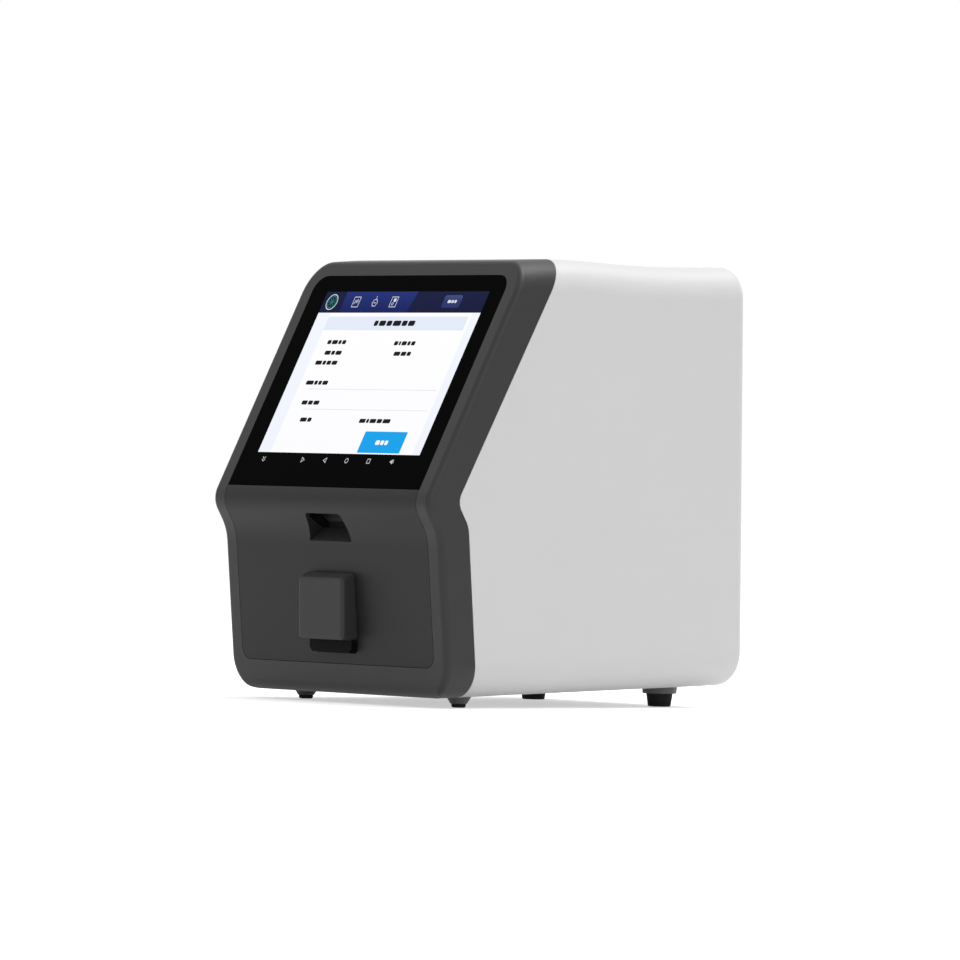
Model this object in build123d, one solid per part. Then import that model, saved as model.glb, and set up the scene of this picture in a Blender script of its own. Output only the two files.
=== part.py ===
from build123d import *
import os
from math import atan2, cos, pi, radians, sin, tan

# Bench analyzer that reads fluorescent test cards: a slanted touch screen over a brow and an
# upright lower cover, with a card tray that slides out of the front and a receipt printer on top.
# Millimetres, +Z up, the front faces -Y, the origin is under the middle of the object on the ground.

# Overall form
overall_width = 214.0
overall_depth = 244.1
rear_overhang = 1.1
wall = 2.6
glass_foot_height = 128.9
nose_drop = 8.65
nose_radius = 14.0
screen_lean = 27.0
brow_lean = 31.0
brow_end_drop = 27.1
brow_radius = 30.0
panel_lean = 5.3
rear_lean = 1.0
rear_foot_height = 30.0
top_corner_radius = 19.5
bottom_corner_radius = 21.0
front_edge_radius = 3.8
chin_radius = 8.0
chin_join_height = 60.0
chin_margin = 0.02
rear_edge_radius = 6.0

# Underside, which rises to the rear, and the top, which dips behind its crest
floor_front_height = 5.6
floor_front_inset = 22.0
floor_rise = 2.15
crest_height = 267.2
crest_inset = 100.0
crest_drop_front = 1.8
crest_run_front = 27.0
dip_drop = 2.1
dip_run = 79.0
rear_top_drop = 0.3
rear_top_run = 145.0
top_reach_front = 90.0
top_drop_front = 7.0
top_reach_rear = 50.0
top_rise_rear = 2.0

# Seam between the dark front shell and the white housing
seam_setback = 23.6
seam_nose_drop = 7.2
seam_lean = 28.0
seam_brow_end_drop = 21.4
seam_panel_lean = 5.0
seam_nose_radius = 10.0
seam_brow_radius = 18.0
seam_gap = 0.4
tongue_thickness = 1.5
tongue_length = 4.0
tongue_clearance = 0.15
tongue_bond = 1.0
tongue_root = 6.0

# Cover glass, picture and display, placed up the slanted face from the lower edge of the glass
glass_side_margin = 12.2
glass_head_drop = 10.5
glass_thickness = 1.9
glass_corner_radius = 10.5
glass_gap = 0.2
ledge_thickness = 3.1
ledge_margin = 4.5
ledge_drop = 7.0
picture_side_margin = 13.8
picture_foot = 11.0
picture_head_margin = 10.9
picture_clearance = 2.0
display_margin = 6.0
display_thickness = 4.1
display_gap = 0.1
bracket_gap = 0.2
bracket_thickness = 1.2
bracket_frame_width = 27.0
bracket_lip = 5.0
bracket_side_margin = 4.0
post_radius = 3.0
post_gap = 0.8
post_row_inset = 9.0
board_side_inset = 17.0
board_foot_inset = 20.0
board_head_inset = 18.5
board_thickness = 1.6
board_gap = 6.2
standoff_radius = 2.6
standoff_inset = 5.0
sink_size = 30.0
sink_base = 2.0
sink_height = 9.0
sink_fin = 2.0
sink_fin_count = 6

# Larger parts on the main board: middle as shares of the half board, then width, length, height
board_chips = ((-0.64, -0.72, 30.0, 8.0, 5.0), (0.63, 0.28, 12.0, 12.0, 1.4), (-0.73, 0.47, 10.0, 10.0, 1.4))

# Lower front cover
cover_side_margin = 0.3
cover_foot_height = 23.8
cover_corner_radius = 7.5
cover_gap = 0.35
cover_reach = 40.0
flange_width = 4.0
flange_overlap = 2.0
flange_head_drop = 12.0

# Scoop under the brow and the code scanner behind it
scoop_top_drop = 15.9
scoop_foot_drop = 32.4
scoop_top_half_width = 17.0
scoop_foot_half_width = 20.6
scoop_wall = 1.6
scoop_depth = 8.2
scoop_rise = 7.9
scoop_corner_radius = 3.0
window_width = 28.0
window_height = 14.0
window_thickness = 1.6
window_corner_radius = 5.0
window_rim = 2.6
window_recess = 0.4
window_overhang = 2.7
window_gap = 4.0
scanner_tilt = 20.0
scanner_body_half_width = 12.0
scanner_body_height = 14.0
shelf_half_width = 12.0
shelf_length = 18.0

# Card tray, its front block and its stroke
tray_floor_height = 30.5
tray_thickness = 7.5
tray_half_width = 20.7
tray_lip = 4.0
tray_chamfer = 2.7
tray_clearance = 0.4
tray_stroke = 80.0
card_length = 71.0
card_width = 21.4
card_depth = 4.6
card_setback = 7.6
card_corner_radius = 2.0
card_end_wall = 4.0
thumb_setback = 8.0
thumb_width = 34.0
block_half_width = 22.0
block_height = 36.5
block_shoulder_height = 41.5
block_protrusion = 12.0
block_lean = 1.6
block_edge_radius = 2.4
block_gap = 0.4
upstand_half_width = 15.0
upstand_height = 13.0
upstand_thickness = 2.2
upstand_fit = 0.2

# Rack and pinion
gear_module = 0.8
pinion_teeth = 20
pressure_angle = 20.0
gear_backlash = 0.16
rack_pitch_x = 19.9
rack_height = 6.0
rack_margin = 20.0
rack_lead = 6.0
rack_dedendum = 1.25
pinion_behind_tray = 12.4
tail_half_width = 16.0
tail_slot_margin = 12.0
tail_slot_side = 5.0
tail_slot_right = 4.0
pinion_lift = 0.3
pinion_overlap = 0.1
pinion_hub_radius = 5.0
pinion_hub_height = 4.0
shaft_radius = 2.5
shaft_fit = 0.05
shaft_reach = 18.0
flag_setback = 14.0
flag_length = 8.0
flag_thickness = 1.0
flag_gap = 1.5
flag_arm = 6.5
flag_arm_thickness = 2.0
sensor_half_width = 4.0
sensor_margin = 1.0
sensor_gap = 0.6

# Chassis
plate_top = 20.5
plate_thickness = 2.0
plate_side_inset = 13.0
plate_front_inset = 28.0
plate_rear_inset = 13.0
plate_hole_inset = 10.0
plate_first_row = 34.0
plate_last_row = 8.0
plate_corner = 10.0
plate_window_gap = 12.0
plate_window_width = 22.0
plate_window_length = 34.0
rail_half_width = 4.5
rail_height = 6.5
rail_end_gap = 4.0
rail_margin = 18.0
rail_hole_radius = 2.6
rail_hole_pitch = 20.0
rail_hole_count = 6
rail_hole_depth = 2.0
carriage_half_width = 10.0
carriage_length = 28.0
carriage_behind_tray = 36.4
carriage_lift = 1.5
carriage_screw_inset = 4.0
slide_clearance = 0.25
guide_front_inset = 12.0
guide_rear_inset = 17.6
guide_wall = 2.6
guide_shelf = 5.0
guide_lip = 1.6
guide_lip_thickness = 1.8
guide_foot = 7.0

# Screws
screw_core = 1.25
screw_hole = 1.65
screw_head_radius = 2.8
screw_head_height = 1.8
screw_reach = 5.0
boss_radius = 4.0
boss_hole_depth = 7.0
case_screw_side_inset = 57.0
case_screw_inset = 48.0
case_screw_recess = 1.1
tab_half_width = 6.0
tab_length = 20.0
tab_height = 6.0
tab_clearance = 2.0

# Feet
front_foot_side_inset = 31.6
front_foot_inset = 50.15
front_flange_radius = 7.6
front_flange_foot_radius = 4.9
front_sole_radius = 4.3
front_sole_height = 2.3
rear_foot_side_inset = 45.6
rear_foot_inset = 28.05
rear_flange_radius = 10.8
rear_flange_foot_radius = 10.3
rear_sole_radius = 8.1
rear_sole_foot_radius = 6.9
rear_sole_height = 8.0
sole_round = 1.2

# Optical head
head_behind_tray_front = 51.0
head_half = 18.0
head_foot_height = 46.0
head_height = 40.0
head_chamfer = 2.0
bridge_half_width = 33.0
bridge_thickness = 2.0
bridge_foot = 8.0
light_bore_radius = 5.0
side_bore_radius = 4.0
bore_fit = 0.1
lens_inset = 1.0
lens_length = 5.0
lens_curve = 11.0
filter_offset = 8.0
filter_thickness = 2.0
light_source_length = 4.0
bridge_hole_gap = 0.5
mirror_size = (6.4, 8.4, 1.0)
detector_depth = 6.0
detector_proud = 0.2
detector_plug_width = 5.0
detector_plug_height = 4.0
detector_plug_inset = 1.0
detector_board_half = 13.0
head_sink_half_width = 12.0
head_sink_half_height = 13.0
head_sink_base = 2.5
head_sink_depth = 10.0
head_sink_fin_count = 5

# Motor
motor_size = 28.0
motor_height = 32.0
motor_foot_height = 45.0
motor_chamfer = 2.5
pilot_radius = 11.0
pilot_height = 1.8
motor_hole_spacing = 23.0
motor_bracket_margin = 2.0
motor_bracket_thickness = 2.0
motor_bracket_foot = 12.0
motor_side_gap = 3.0
motor_bracket_fit = 0.2
motor_screw_head_radius = 2.2
motor_screw_head_height = 1.4

# Printer in the top
lid_half_width = 38.0
lid_length = 45.0
lid_gap = 0.4
paper_slot = 1.6
lid_corner_radius = 5.0
lid_reach = 20.0
hinge_inset = 46.0
hinge_radius = 4.4
hinge_drop = 0.1
hinge_slot = 0.5
hinge_pin_radius = 1.5
hinge_pin_fit = 0.06
hinge_pin_inset = 0.2
bay_wall = 2.5
bay_depth = 40.0
bay_side_gap = 0.5
bay_front_gap = 2.0
bay_rear_gap = 2.6
platen_radius = 4.5
platen_half_length = 28.0
platen_behind_edge = 10.0
platen_drop = 11.5
platen_pin_radius = 1.5
platen_pin_length = 3.0
ear_gap = 0.6
ear_thickness = 2.6
ear_front = 4.0
ear_rear = 5.0
ear_drop = 3.5
paper_gap = 0.4
print_head_half_width = 26.0
print_head_below = 5.0
print_head_above = 4.0

# Rear connector plate, ports, switch and fan
io_centre_height = 58.0
io_half_width = 72.0
io_half_height = 20.0
io_ledge = 4.0
io_thickness = 1.2
io_gap = 0.15
io_corner_radius = 2.0
io_screw_inset = 6.0
io_screw_head = 1.2
inlet_x = 54.0
inlet_size = 12.0
inlet_bore_radius = 3.2
inlet_pin_radius = 1.0
switch_x = 28.0
switch_half_width = 10.5
switch_half_height = 7.5
switch_rim = 1.5
switch_lip = 0.8
rocker_half_width = 7.5
rocker_half_height = 4.9
rocker_side_gap = 0.5
rocker_end_gap = 0.8
rocker_tilt = 7.0
rocker_pivot_depth = 2.6
rocker_end_height = 3.6
rocker_middle_height = 2.6
rocker_root = 2.5
rocker_well_depth = 8.0
network_x = -8.0
network_width = 16.0
network_height = 13.6
network_socket = (12.0, 9.0)
data_x = -38.0
data_spacing = 16.0
data_width = 7.4
data_height = 14.8
data_socket = (5.4, 12.4)
port_depth = 16.0
port_back = 3.0
port_gap = 0.2
port_proud = 0.6
fan_x = -44.0
fan_height_above_io = 104.0
fan_half_size = 25.0
fan_thickness = 15.0
fan_hole_inset = 4.0
fan_corner_radius = 3.0
fan_seat_gap = 0.1
rotor_gap = 0.7
fan_bore_radius = 23.5
fan_hub_radius = 10.0
fan_blade_radius = 22.6
fan_blade_count = 7
fan_blade_pitch = 38.0
fan_blade_chord = 11.5
fan_blade_thickness = 1.2
fan_arm_width = 3.0
fan_arm_thickness = 2.0
guard_radius = 25.0
guard_thickness = 1.6
guard_bar = 2.2
guard_recess = 0.2
guard_openings = ((4.5, 8.0), (10.0, 13.5), (15.5, 19.0), (21.0, 23.4))
vent_x = 44.0
vent_count = 9
vent_pitch = 6.0
floor_vent_pitch = 8.4
vent_width = 2.6
vent_length = 44.0
floor_vent_inset = 64.0

# Power board, low on the right behind the motor
power_board_width = 56.0
power_board_length = 66.0
power_board_lift = 7.0
power_side_inset = 12.0
power_rear_inset = 4.0
power_part_inset = 17.0
transformer_size = 18.0
transformer_height = 15.0
capacitor_radius = 7.0
capacitor_height = 17.0

# Lines of the side view are (y, z) points with a lean: degrees back from the vertical


def at_height(point, lean, z):
    return (point[0] + tan(radians(lean)) * (z - point[1]), z)


def moved_in(point, lean, inset):
    return (point[0] + inset * cos(radians(lean)), point[1] - inset * sin(radians(lean)))


def crossing(point, lean, other, other_lean):
    slope = tan(radians(lean))
    other_slope = tan(radians(other_lean))
    rise = other[0] - point[0] + slope * point[1] - other_slope * other[1]
    return at_height(point, lean, rise / (slope - other_slope))


# Where the driving dimensions put things
front_y = -overall_depth / 2
rear_y = overall_depth / 2 - rear_overhang
half_width = overall_width / 2
far = 300.0
below = -30.0
half_turn = radians((brow_lean + screen_lean) / 2)
half_tilt = radians((brow_lean - screen_lean) / 2)
nose_height = glass_foot_height - nose_drop
nose = (front_y + nose_radius - nose_radius * cos(half_tilt) / cos(half_turn), nose_height)
brow_end = at_height(nose, -brow_lean, glass_foot_height - brow_end_drop)
seam_nose = (nose[0] + seam_setback, glass_foot_height - seam_nose_drop)
seam_brow_end_height = glass_foot_height - seam_brow_end_drop
seam_brow_end = at_height(seam_nose, -brow_lean, seam_brow_end_height)
rear_point = (rear_y, rear_foot_height)
crest_y = front_y + crest_inset
rear_top_y = crest_y + rear_top_run
floor_slope = tan(radians(floor_rise))


def cover_face(z):
    return at_height(brow_end, -panel_lean, z)[0]


def floor_height(y):
    return floor_front_height + floor_slope * (y - front_y - floor_front_inset)


glass_width = overall_width - 2 * glass_side_margin
glass_length = (crest_height - glass_head_drop - glass_foot_height) / cos(radians(screen_lean))
picture_width = glass_width - 2 * picture_side_margin
picture_length = glass_length - picture_foot - picture_head_margin
cover_half_width = glass_width / 2 - cover_side_margin

display_depth = glass_thickness + ledge_thickness + display_gap
bracket_depth = display_depth + display_thickness + bracket_gap
board_depth = bracket_depth + bracket_thickness + board_gap
display_half = picture_width / 2 + display_margin
display_foot = picture_foot - display_margin
display_top = picture_foot + picture_length + display_margin
post_x = display_half + post_radius + post_gap
post_rows = (display_foot + post_row_inset, display_top - post_row_inset)
board_half = display_half - board_side_inset
board_foot = display_foot + board_foot_inset
board_top = display_top - board_head_inset
board_middle = (board_foot + board_top) / 2

tray_length = card_setback + card_length + card_end_wall
tray_top = tray_floor_height + tray_thickness
tray_front = cover_face(tray_top) - tray_lip
tray_rear = tray_front + tray_length
tail_end = tray_rear + tray_stroke + rack_margin
tail_top = tray_floor_height + rack_height
flag_y = tail_end - flag_setback
flag_x = -tail_half_width - flag_arm
block_front = cover_face(tray_top) - block_protrusion
pinion_radius = gear_module * pinion_teeth / 2
pinion_x = rack_pitch_x + pinion_radius
pinion_y = tray_rear + pinion_behind_tray
pinion_foot = tray_floor_height + pinion_lift
pinion_width = rack_height + pinion_overlap
carriage_front = tray_rear + carriage_behind_tray
rail_front = carriage_front - tray_stroke - rail_end_gap
rail_length = carriage_length + tray_stroke + rail_margin

plate_bottom = plate_top - plate_thickness
plate_half_width = half_width - plate_side_inset
plate_front = front_y + plate_front_inset
plate_rear = rear_y - plate_rear_inset
plate_hole_x = plate_half_width - plate_hole_inset
plate_rows = (plate_front + plate_first_row, plate_rear - plate_last_row)
boss_rows = (plate_rows[0], (plate_rows[0] + plate_rows[1]) / 2, plate_rows[1])
boss_spots = [(x, y) for x in (-plate_hole_x, plate_hole_x) for y in boss_rows]
case_screw_x = half_width - case_screw_side_inset
case_screw_y = front_y + case_screw_inset
case_screw_top = floor_height(case_screw_y) + case_screw_recess
vent_rear = plate_rear - floor_vent_inset
vent_front = vent_rear - vent_length

head_y = tray_front + head_behind_tray_front
head_top = head_foot_height + head_height
light_z = head_foot_height + head_height / 2
lid_hinge_y = rear_y - hinge_inset
lid_front = lid_hinge_y - lid_length
dip_height = crest_height - dip_drop
hinge_z = dip_height - hinge_radius - hinge_drop
platen_y = lid_front + platen_behind_edge
platen_z = dip_height - platen_drop
bay_half = lid_half_width + bay_side_gap
bay_front = lid_front - bay_front_gap
bay_rear = lid_hinge_y + hinge_radius + bay_rear_gap
bay_foot = dip_height - bay_depth
power_board_right = plate_half_width - power_side_inset
power_board_rear = plate_rear - power_rear_inset
power_board_left = power_board_right - power_board_width
power_board_front = power_board_rear - power_board_length


def block(x0, x1, y0, y1, z0, z1):
    middle = ((x0 + x1) / 2, (y0 + y1) / 2, (z0 + z1) / 2)
    return Pos(*middle) * Box(abs(x1 - x0), abs(y1 - y0), abs(z1 - z0))


def post(x, y, radius, z0, z1):
    return Pos(x, y, (z0 + z1) / 2) * Cylinder(radius, z1 - z0)


def both_sides(shape):
    return shape + mirror(shape, about=Plane.YZ)


def side_prism(points, half=far):
    face = Plane.YZ * make_face(Polyline(*points, close=True))
    return extrude(face, half, both=True)


def round_bar(radius, start, end):
    path = Vector(*end) - Vector(*start)
    return extrude(Plane(origin=start, z_dir=path) * Circle(radius), path.length)


def cross_bar(radius, half, y, z):
    return round_bar(radius, (-half, y, z), (half, y, z))


def side_wall_prism(line, radii, close_with):
    with BuildSketch(Plane.YZ) as outline:
        with BuildLine():
            FilletPolyline(*line, radius=radii)
            Polyline(line[-1], *close_with, line[0])
        make_face()
    return extrude(outline.sketch, far, both=True)


# Case: one form, drawn at any inset, so walls and tongues follow the outside
def top_points(inset):
    heights = [
        (crest_y - crest_run_front - top_reach_front, crest_height - top_drop_front),
        (crest_y - crest_run_front, crest_height - crest_drop_front),
        (crest_y, crest_height),
        (crest_y + dip_run / 2, crest_height - dip_drop / 2),
        (crest_y + dip_run, dip_height),
        (rear_top_y, crest_height - rear_top_drop),
        (rear_top_y + top_reach_rear, crest_height + top_rise_rear),
    ]
    return [(y, z - inset) for y, z in heights]


def front_line(inset):
    slant = moved_in(nose, screen_lean, inset)
    under = moved_in(nose, -brow_lean, inset)
    panel = moved_in(brow_end, -panel_lean, inset)
    inner_nose = crossing(slant, screen_lean, under, -brow_lean)
    inner_brow = crossing(under, -brow_lean, panel, -panel_lean)
    return [at_height(slant, screen_lean, far), inner_nose, inner_brow, at_height(panel, -panel_lean, below)]


def side_edges(bar, half):
    running = bar.edges().filter_by(lambda e: abs((e @ 0).Y - (e @ 1).Y) > overall_depth)
    return running.filter_by(lambda e: abs(e.center().X) > half - 0.1)


def plain_form(inset):
    top = top_points(inset)
    rear_foot = (top[-1][0], floor_height(top[-1][0]) + inset)
    front_foot = (top[0][0], floor_height(top[0][0]) + inset)
    with BuildSketch(Plane.YZ) as outline:
        with BuildLine():
            Spline(*top)
            Polyline(top[-1], rear_foot, front_foot, top[0])
        make_face()
    half = half_width - inset
    bar = extrude(outline.sketch, half, both=True)
    middle_z = crest_height / 2
    upper = side_edges(bar, half).filter_by(lambda e: e.center().Z > middle_z)
    bar = fillet(upper, top_corner_radius - inset)
    lower = side_edges(bar, half).filter_by(lambda e: e.center().Z < middle_z)
    bar = fillet(lower, bottom_corner_radius - inset)
    back = moved_in(rear_point, -rear_lean, -inset)
    ends = [at_height(back, -rear_lean, below), at_height(back, -rear_lean, far)]
    return bar & side_wall_prism(front_line(inset), [nose_radius - inset, brow_radius + inset], ends)


def chin_bar(inset):
    panel = moved_in(brow_end, -panel_lean, inset)
    floor_z = floor_height(front_y) + inset
    slope = tan(radians(-panel_lean))
    chin_z = (floor_z + floor_slope * (panel[0] - slope * panel[1] - front_y)) / (1 - floor_slope * slope)
    chin_y = at_height(panel, -panel_lean, chin_z)[0]
    line = [
        at_height(panel, -panel_lean, chin_join_height),
        (chin_y, chin_z),
        (far, chin_z + floor_slope * (far - chin_y)),
    ]
    line = [(y - chin_margin, z - chin_margin) for y, z in line]
    return side_wall_prism(line, [chin_radius - inset], [(far, far), (-far, far), (-far, line[0][1])])


def case_form(inset):
    return plain_form(inset) & chin_bar(inset)


def behind_front(edge):
    middle = edge @ 0.5
    slant = at_height(nose, screen_lean, middle.Z)[0]
    under = at_height(nose, -brow_lean, middle.Z)[0]
    panel = cover_face(middle.Z)
    return middle.Y - max(slant, min(under, panel) if middle.Z > brow_end[1] else panel)


def rounded_case():
    form = plain_form(0)
    form = fillet(form.edges().filter_by(lambda e: (e @ 0.5).Y > rear_y - rear_edge_radius), rear_edge_radius)
    rim = form.edges().filter_by(lambda e: abs(behind_front(e)) < 3 and e.length < overall_width - 1)
    return fillet(rim, front_edge_radius) & chin_bar(0)


def before_seam(shift):
    first = (seam_nose[0] + shift, seam_nose[1])
    second = (seam_brow_end[0] + shift, seam_brow_end[1])
    line = [at_height(first, seam_lean, far), first, second, at_height(second, -seam_panel_lean, below)]
    return side_wall_prism(line, [seam_nose_radius, seam_brow_radius], [(-far, below), (-far, far)])


outer = rounded_case()
inner = case_form(wall)
shell = outer - inner
bonded_tongue = case_form(tongue_bond) - case_form(wall + tongue_clearance + tongue_thickness)
free_tongue = case_form(wall + tongue_clearance) & bonded_tongue

# Slanted face: x to the right, y up the slope, z out of the face
screen = Plane(
    origin=(0, *at_height(nose, screen_lean, glass_foot_height)),
    x_dir=(1, 0, 0),
    z_dir=(0, -cos(radians(screen_lean)), sin(radians(screen_lean))),
)


def screen_slab(x0, x1, s0, s1, depth0, depth1):
    middle = Pos((x0 + x1) / 2, (s0 + s1) / 2, -(depth0 + depth1) / 2)
    return screen * middle * Box(x1 - x0, s1 - s0, abs(depth1 - depth0))


def screen_rod(x, s, radius, depth0, depth1):
    return screen * Pos(x, s, -(depth0 + depth1) / 2) * Cylinder(radius, depth1 - depth0)


def glass_plate(grow, depth0, depth1):
    half = glass_width / 2 + grow
    plate = screen_slab(-half, half, -grow, glass_length + grow, depth0, depth1)
    short = plate.edges().filter_by(lambda e: abs(e.length - (depth1 - depth0)) < 0.01)
    return fillet(short.sort_by(Axis.Z)[-2:], glass_corner_radius + grow)


# Lower front cover region seen from the front, up to the lower edge of the glass
def cover_zone(grow):
    half = cover_half_width + grow
    foot = cover_foot_height - grow
    zone = block(-half, half, -far, front_y + cover_reach, foot, far)
    lower = zone.edges().filter_by(Axis.Y).sort_by(Axis.Z)[:2]
    return fillet(lower, cover_corner_radius + grow) - above_cover(cover_gap - grow)


def above_cover(drop):
    return screen_slab(-far, far, -drop, far, -far, far)


# Scoop: a ramp between two gussets, under an opening that leads up to the code scanner
scoop_foot_height = glass_foot_height - scoop_foot_drop
ramp_foot = (cover_face(scoop_foot_height), scoop_foot_height)
ramp_end = (ramp_foot[0] + scoop_depth, scoop_foot_height + scoop_rise)
ramp_angle = atan2(scoop_rise, scoop_depth)
scoop_top = at_height(nose, -brow_lean, glass_foot_height - scoop_top_drop)


def along_ramp(distance, drop=0.0):
    y = ramp_foot[0] + distance * cos(ramp_angle) + drop * sin(ramp_angle)
    return (y, ramp_foot[1] + distance * sin(ramp_angle) - drop * cos(ramp_angle))


def scoop_prism(grow):
    half_foot = scoop_foot_half_width + grow
    half_top = scoop_top_half_width + grow
    z_foot = scoop_foot_height - grow
    z_top = scoop_top[1] + grow
    corners = [(-half_foot, z_foot), (half_foot, z_foot), (half_top, z_top), (-half_top, z_top)]
    prism = extrude(Plane.XZ * make_face(Polyline(*corners, close=True)), far)
    upper = prism.edges().filter_by(Axis.Y).sort_by(Axis.Z)[-2:]
    return fillet(upper, scoop_corner_radius + grow)


def make_scoop_walls():
    ramp_under = (ramp_end[0] + scoop_wall * tan(ramp_angle / 2), ramp_end[1] - scoop_wall)
    shelf_rear = ramp_end[0] + shelf_length
    before = along_ramp(-far)
    before_under = along_ramp(-far, scoop_wall)
    edge_slope = (scoop_top[1] - ramp_end[1]) / (scoop_top[0] - ramp_end[0])
    edge_front = (before[0], ramp_end[1] + edge_slope * (before[0] - ramp_end[0]))
    gussets = scoop_prism(scoop_wall) & side_prism([edge_front, before_under, ramp_under, ramp_end])
    gussets -= scoop_prism(0) & side_prism([edge_front, before, ramp_end])
    shelf_top = [along_ramp(scoop_wall), ramp_end, (shelf_rear, ramp_end[1])]
    shelf_under = [(shelf_rear, ramp_under[1]), ramp_under, along_ramp(scoop_wall, scoop_wall)]
    shelf = side_prism(shelf_top + shelf_under, shelf_half_width)
    return (gussets + shelf) & case_form(0)


def make_front_cover():
    around = cover_zone(flange_width) - cover_zone(-flange_overlap) - above_cover(flange_head_drop)
    cover = (shell & cover_zone(0)) - scoop_prism(0)
    cover += bonded_tongue & around & cover_zone(0)
    cover += free_tongue & around
    cover += make_scoop_walls()
    slot_half = tray_half_width + tray_clearance
    slot_foot = tray_floor_height - tray_clearance
    slot_rear = front_y + cover_reach
    slot = block(-slot_half, slot_half, -far, slot_rear, slot_foot, tray_top + tray_clearance)
    lower = slot.edges().filter_by(Axis.Y).sort_by(Axis.Z)[:2]
    return cover - chamfer(lower, tray_chamfer - tray_clearance)


# Scanner window: x to the right, y up its face, z forwards out of its face
window_foot = (ramp_end[0] - window_overhang, ramp_end[1] + window_gap)
window_plane = Plane(
    origin=(0, *window_foot),
    x_dir=(1, 0, 0),
    z_dir=(0, -cos(radians(scanner_tilt)), -sin(radians(scanner_tilt))),
)


def make_scanner_window():
    outline = RectangleRounded(window_width, window_height, window_corner_radius)
    plate = extrude(Pos(0, window_height / 2, -window_thickness) * outline, window_thickness)
    rim = 2 * window_rim
    pane = RectangleRounded(window_width - rim, window_height - rim, window_corner_radius - window_rim)
    pocket = extrude(Pos(0, window_height / 2, -window_recess) * pane, window_thickness)
    return window_plane * (plate - pocket)


def make_scanner_body():
    rear_foot = moved_in(window_foot, -scanner_tilt, window_thickness)
    top = at_height(rear_foot, -scanner_tilt, ramp_end[1] + scanner_body_height)
    rear_y1 = ramp_end[0] + shelf_length
    points = [(ramp_end[0], ramp_end[1]), rear_foot, top, (rear_y1, top[1]), (rear_y1, ramp_end[1])]
    return side_prism(points, scanner_body_half_width)


def make_front_shell():
    front = shell & before_seam(-seam_gap / 2)
    front += bonded_tongue & (before_seam(-seam_gap / 2) - before_seam(-tongue_root))
    front += free_tongue & (before_seam(tongue_length) - before_seam(-tongue_root))
    front -= cover_zone(cover_gap)
    half = glass_width / 2 + ledge_margin
    ledge_depth = glass_thickness + ledge_thickness
    ledge = screen_slab(-half, half, 0, glass_length + ledge_margin, glass_thickness, ledge_depth)
    bar = screen_slab(-half, half, -ledge_drop, ledge_thickness, wall, ledge_depth)
    front += ledge & case_form(tongue_bond)
    front += bar & case_form(wall + cover_gap)
    front -= glass_plate(glass_gap, -glass_thickness, glass_thickness)
    way_half = picture_width / 2 + picture_clearance
    way_top = picture_foot + picture_length + picture_clearance
    front -= screen_slab(-way_half, way_half, picture_foot - picture_clearance, way_top, -1, ledge_depth + 5)
    for x in (-post_x, post_x):
        for s in post_rows:
            front += screen_rod(x, s, post_radius, glass_thickness + 1, bracket_depth)
            front -= screen_rod(x, s, screw_core, ledge_depth, bracket_depth + 1)
    tab_top = floor_height(case_screw_y) + wall + tab_height
    for x in (-case_screw_x, case_screw_x):
        tab_end = case_screw_y + tab_half_width
        tab = block(x - tab_half_width, x + tab_half_width, tab_end - tab_length, tab_end, 0, tab_top)
        front += tab & case_form(wall + tongue_clearance)
        front -= post(x, case_screw_y, screw_core, 0, tab_top + 1)
    return front


# Display group
def make_glass():
    return glass_plate(0, 0, glass_thickness)


def make_display():
    rear = display_depth + display_thickness
    return screen_slab(-display_half, display_half, display_foot, display_top, display_depth, rear)


def make_display_bracket():
    half = post_x + bracket_side_margin
    rear = bracket_depth + bracket_thickness
    window_half = display_half - bracket_frame_width
    window_foot_s = display_foot + bracket_frame_width
    plate = screen_slab(-half, half, display_foot, display_top, bracket_depth, rear)
    plate -= screen_slab(-window_half, window_half, window_foot_s, display_top - bracket_frame_width,
                         bracket_depth - 1, rear + 1)
    for x0, x1 in ((-half, bracket_thickness - half), (half - bracket_thickness, half)):
        plate += screen_slab(x0, x1, display_foot, display_top, bracket_depth, rear + bracket_lip)
    for x in (-post_x, post_x):
        for s in post_rows:
            plate -= screen_rod(x, s, screw_hole, bracket_depth - 1, rear + 1)
    return plate


def make_display_screws():
    rear = bracket_depth + bracket_thickness
    screws = []
    for x in (-post_x, post_x):
        for s in post_rows:
            head = screen_rod(x, s, screw_head_radius, rear, rear + screw_head_height)
            screws.append(head + screen_rod(x, s, screw_core, rear - display_thickness, rear))
    return Compound(screws)


def make_board_standoffs():
    rear = bracket_depth + bracket_thickness
    columns = (standoff_inset - board_half, board_half - standoff_inset)
    rows = (board_foot + standoff_inset, board_top - standoff_inset)
    return Compound([screen_rod(x, s, standoff_radius, rear, board_depth) for x in columns for s in rows])


def make_main_board():
    face = board_depth + board_thickness
    board = screen_slab(-board_half, board_half, board_foot, board_top, board_depth, face)
    for share_x, share_s, width, length, height in board_chips:
        x0 = share_x * board_half - width / 2
        s0 = board_middle + share_s * (board_top - board_middle) - length / 2
        board += screen_slab(x0, x0 + width, s0, s0 + length, board_depth, face + height)
    return board


def make_board_heat_sink():
    face = board_depth + board_thickness
    half = sink_size / 2
    foot = board_middle - half
    sink = screen_slab(-half, half, foot, foot + sink_size, face, face + sink_base)
    pitch = (sink_size - sink_fin) / (sink_fin_count - 1)
    for index in range(sink_fin_count):
        x = index * pitch - half
        sink += screen_slab(x, x + sink_fin, foot, foot + sink_size, face, face + sink_height)
    return sink


# Rear wall, seen with x across, v up from the middle of the connector plate and depth going in
rear_wall = Plane(
    origin=(0, *at_height(rear_point, -rear_lean, io_centre_height)),
    x_dir=(-1, 0, 0),
    z_dir=(0, cos(radians(rear_lean)), sin(radians(rear_lean))),
)
fan_seat = wall + fan_seat_gap
fan_rear = fan_seat + fan_thickness


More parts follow.
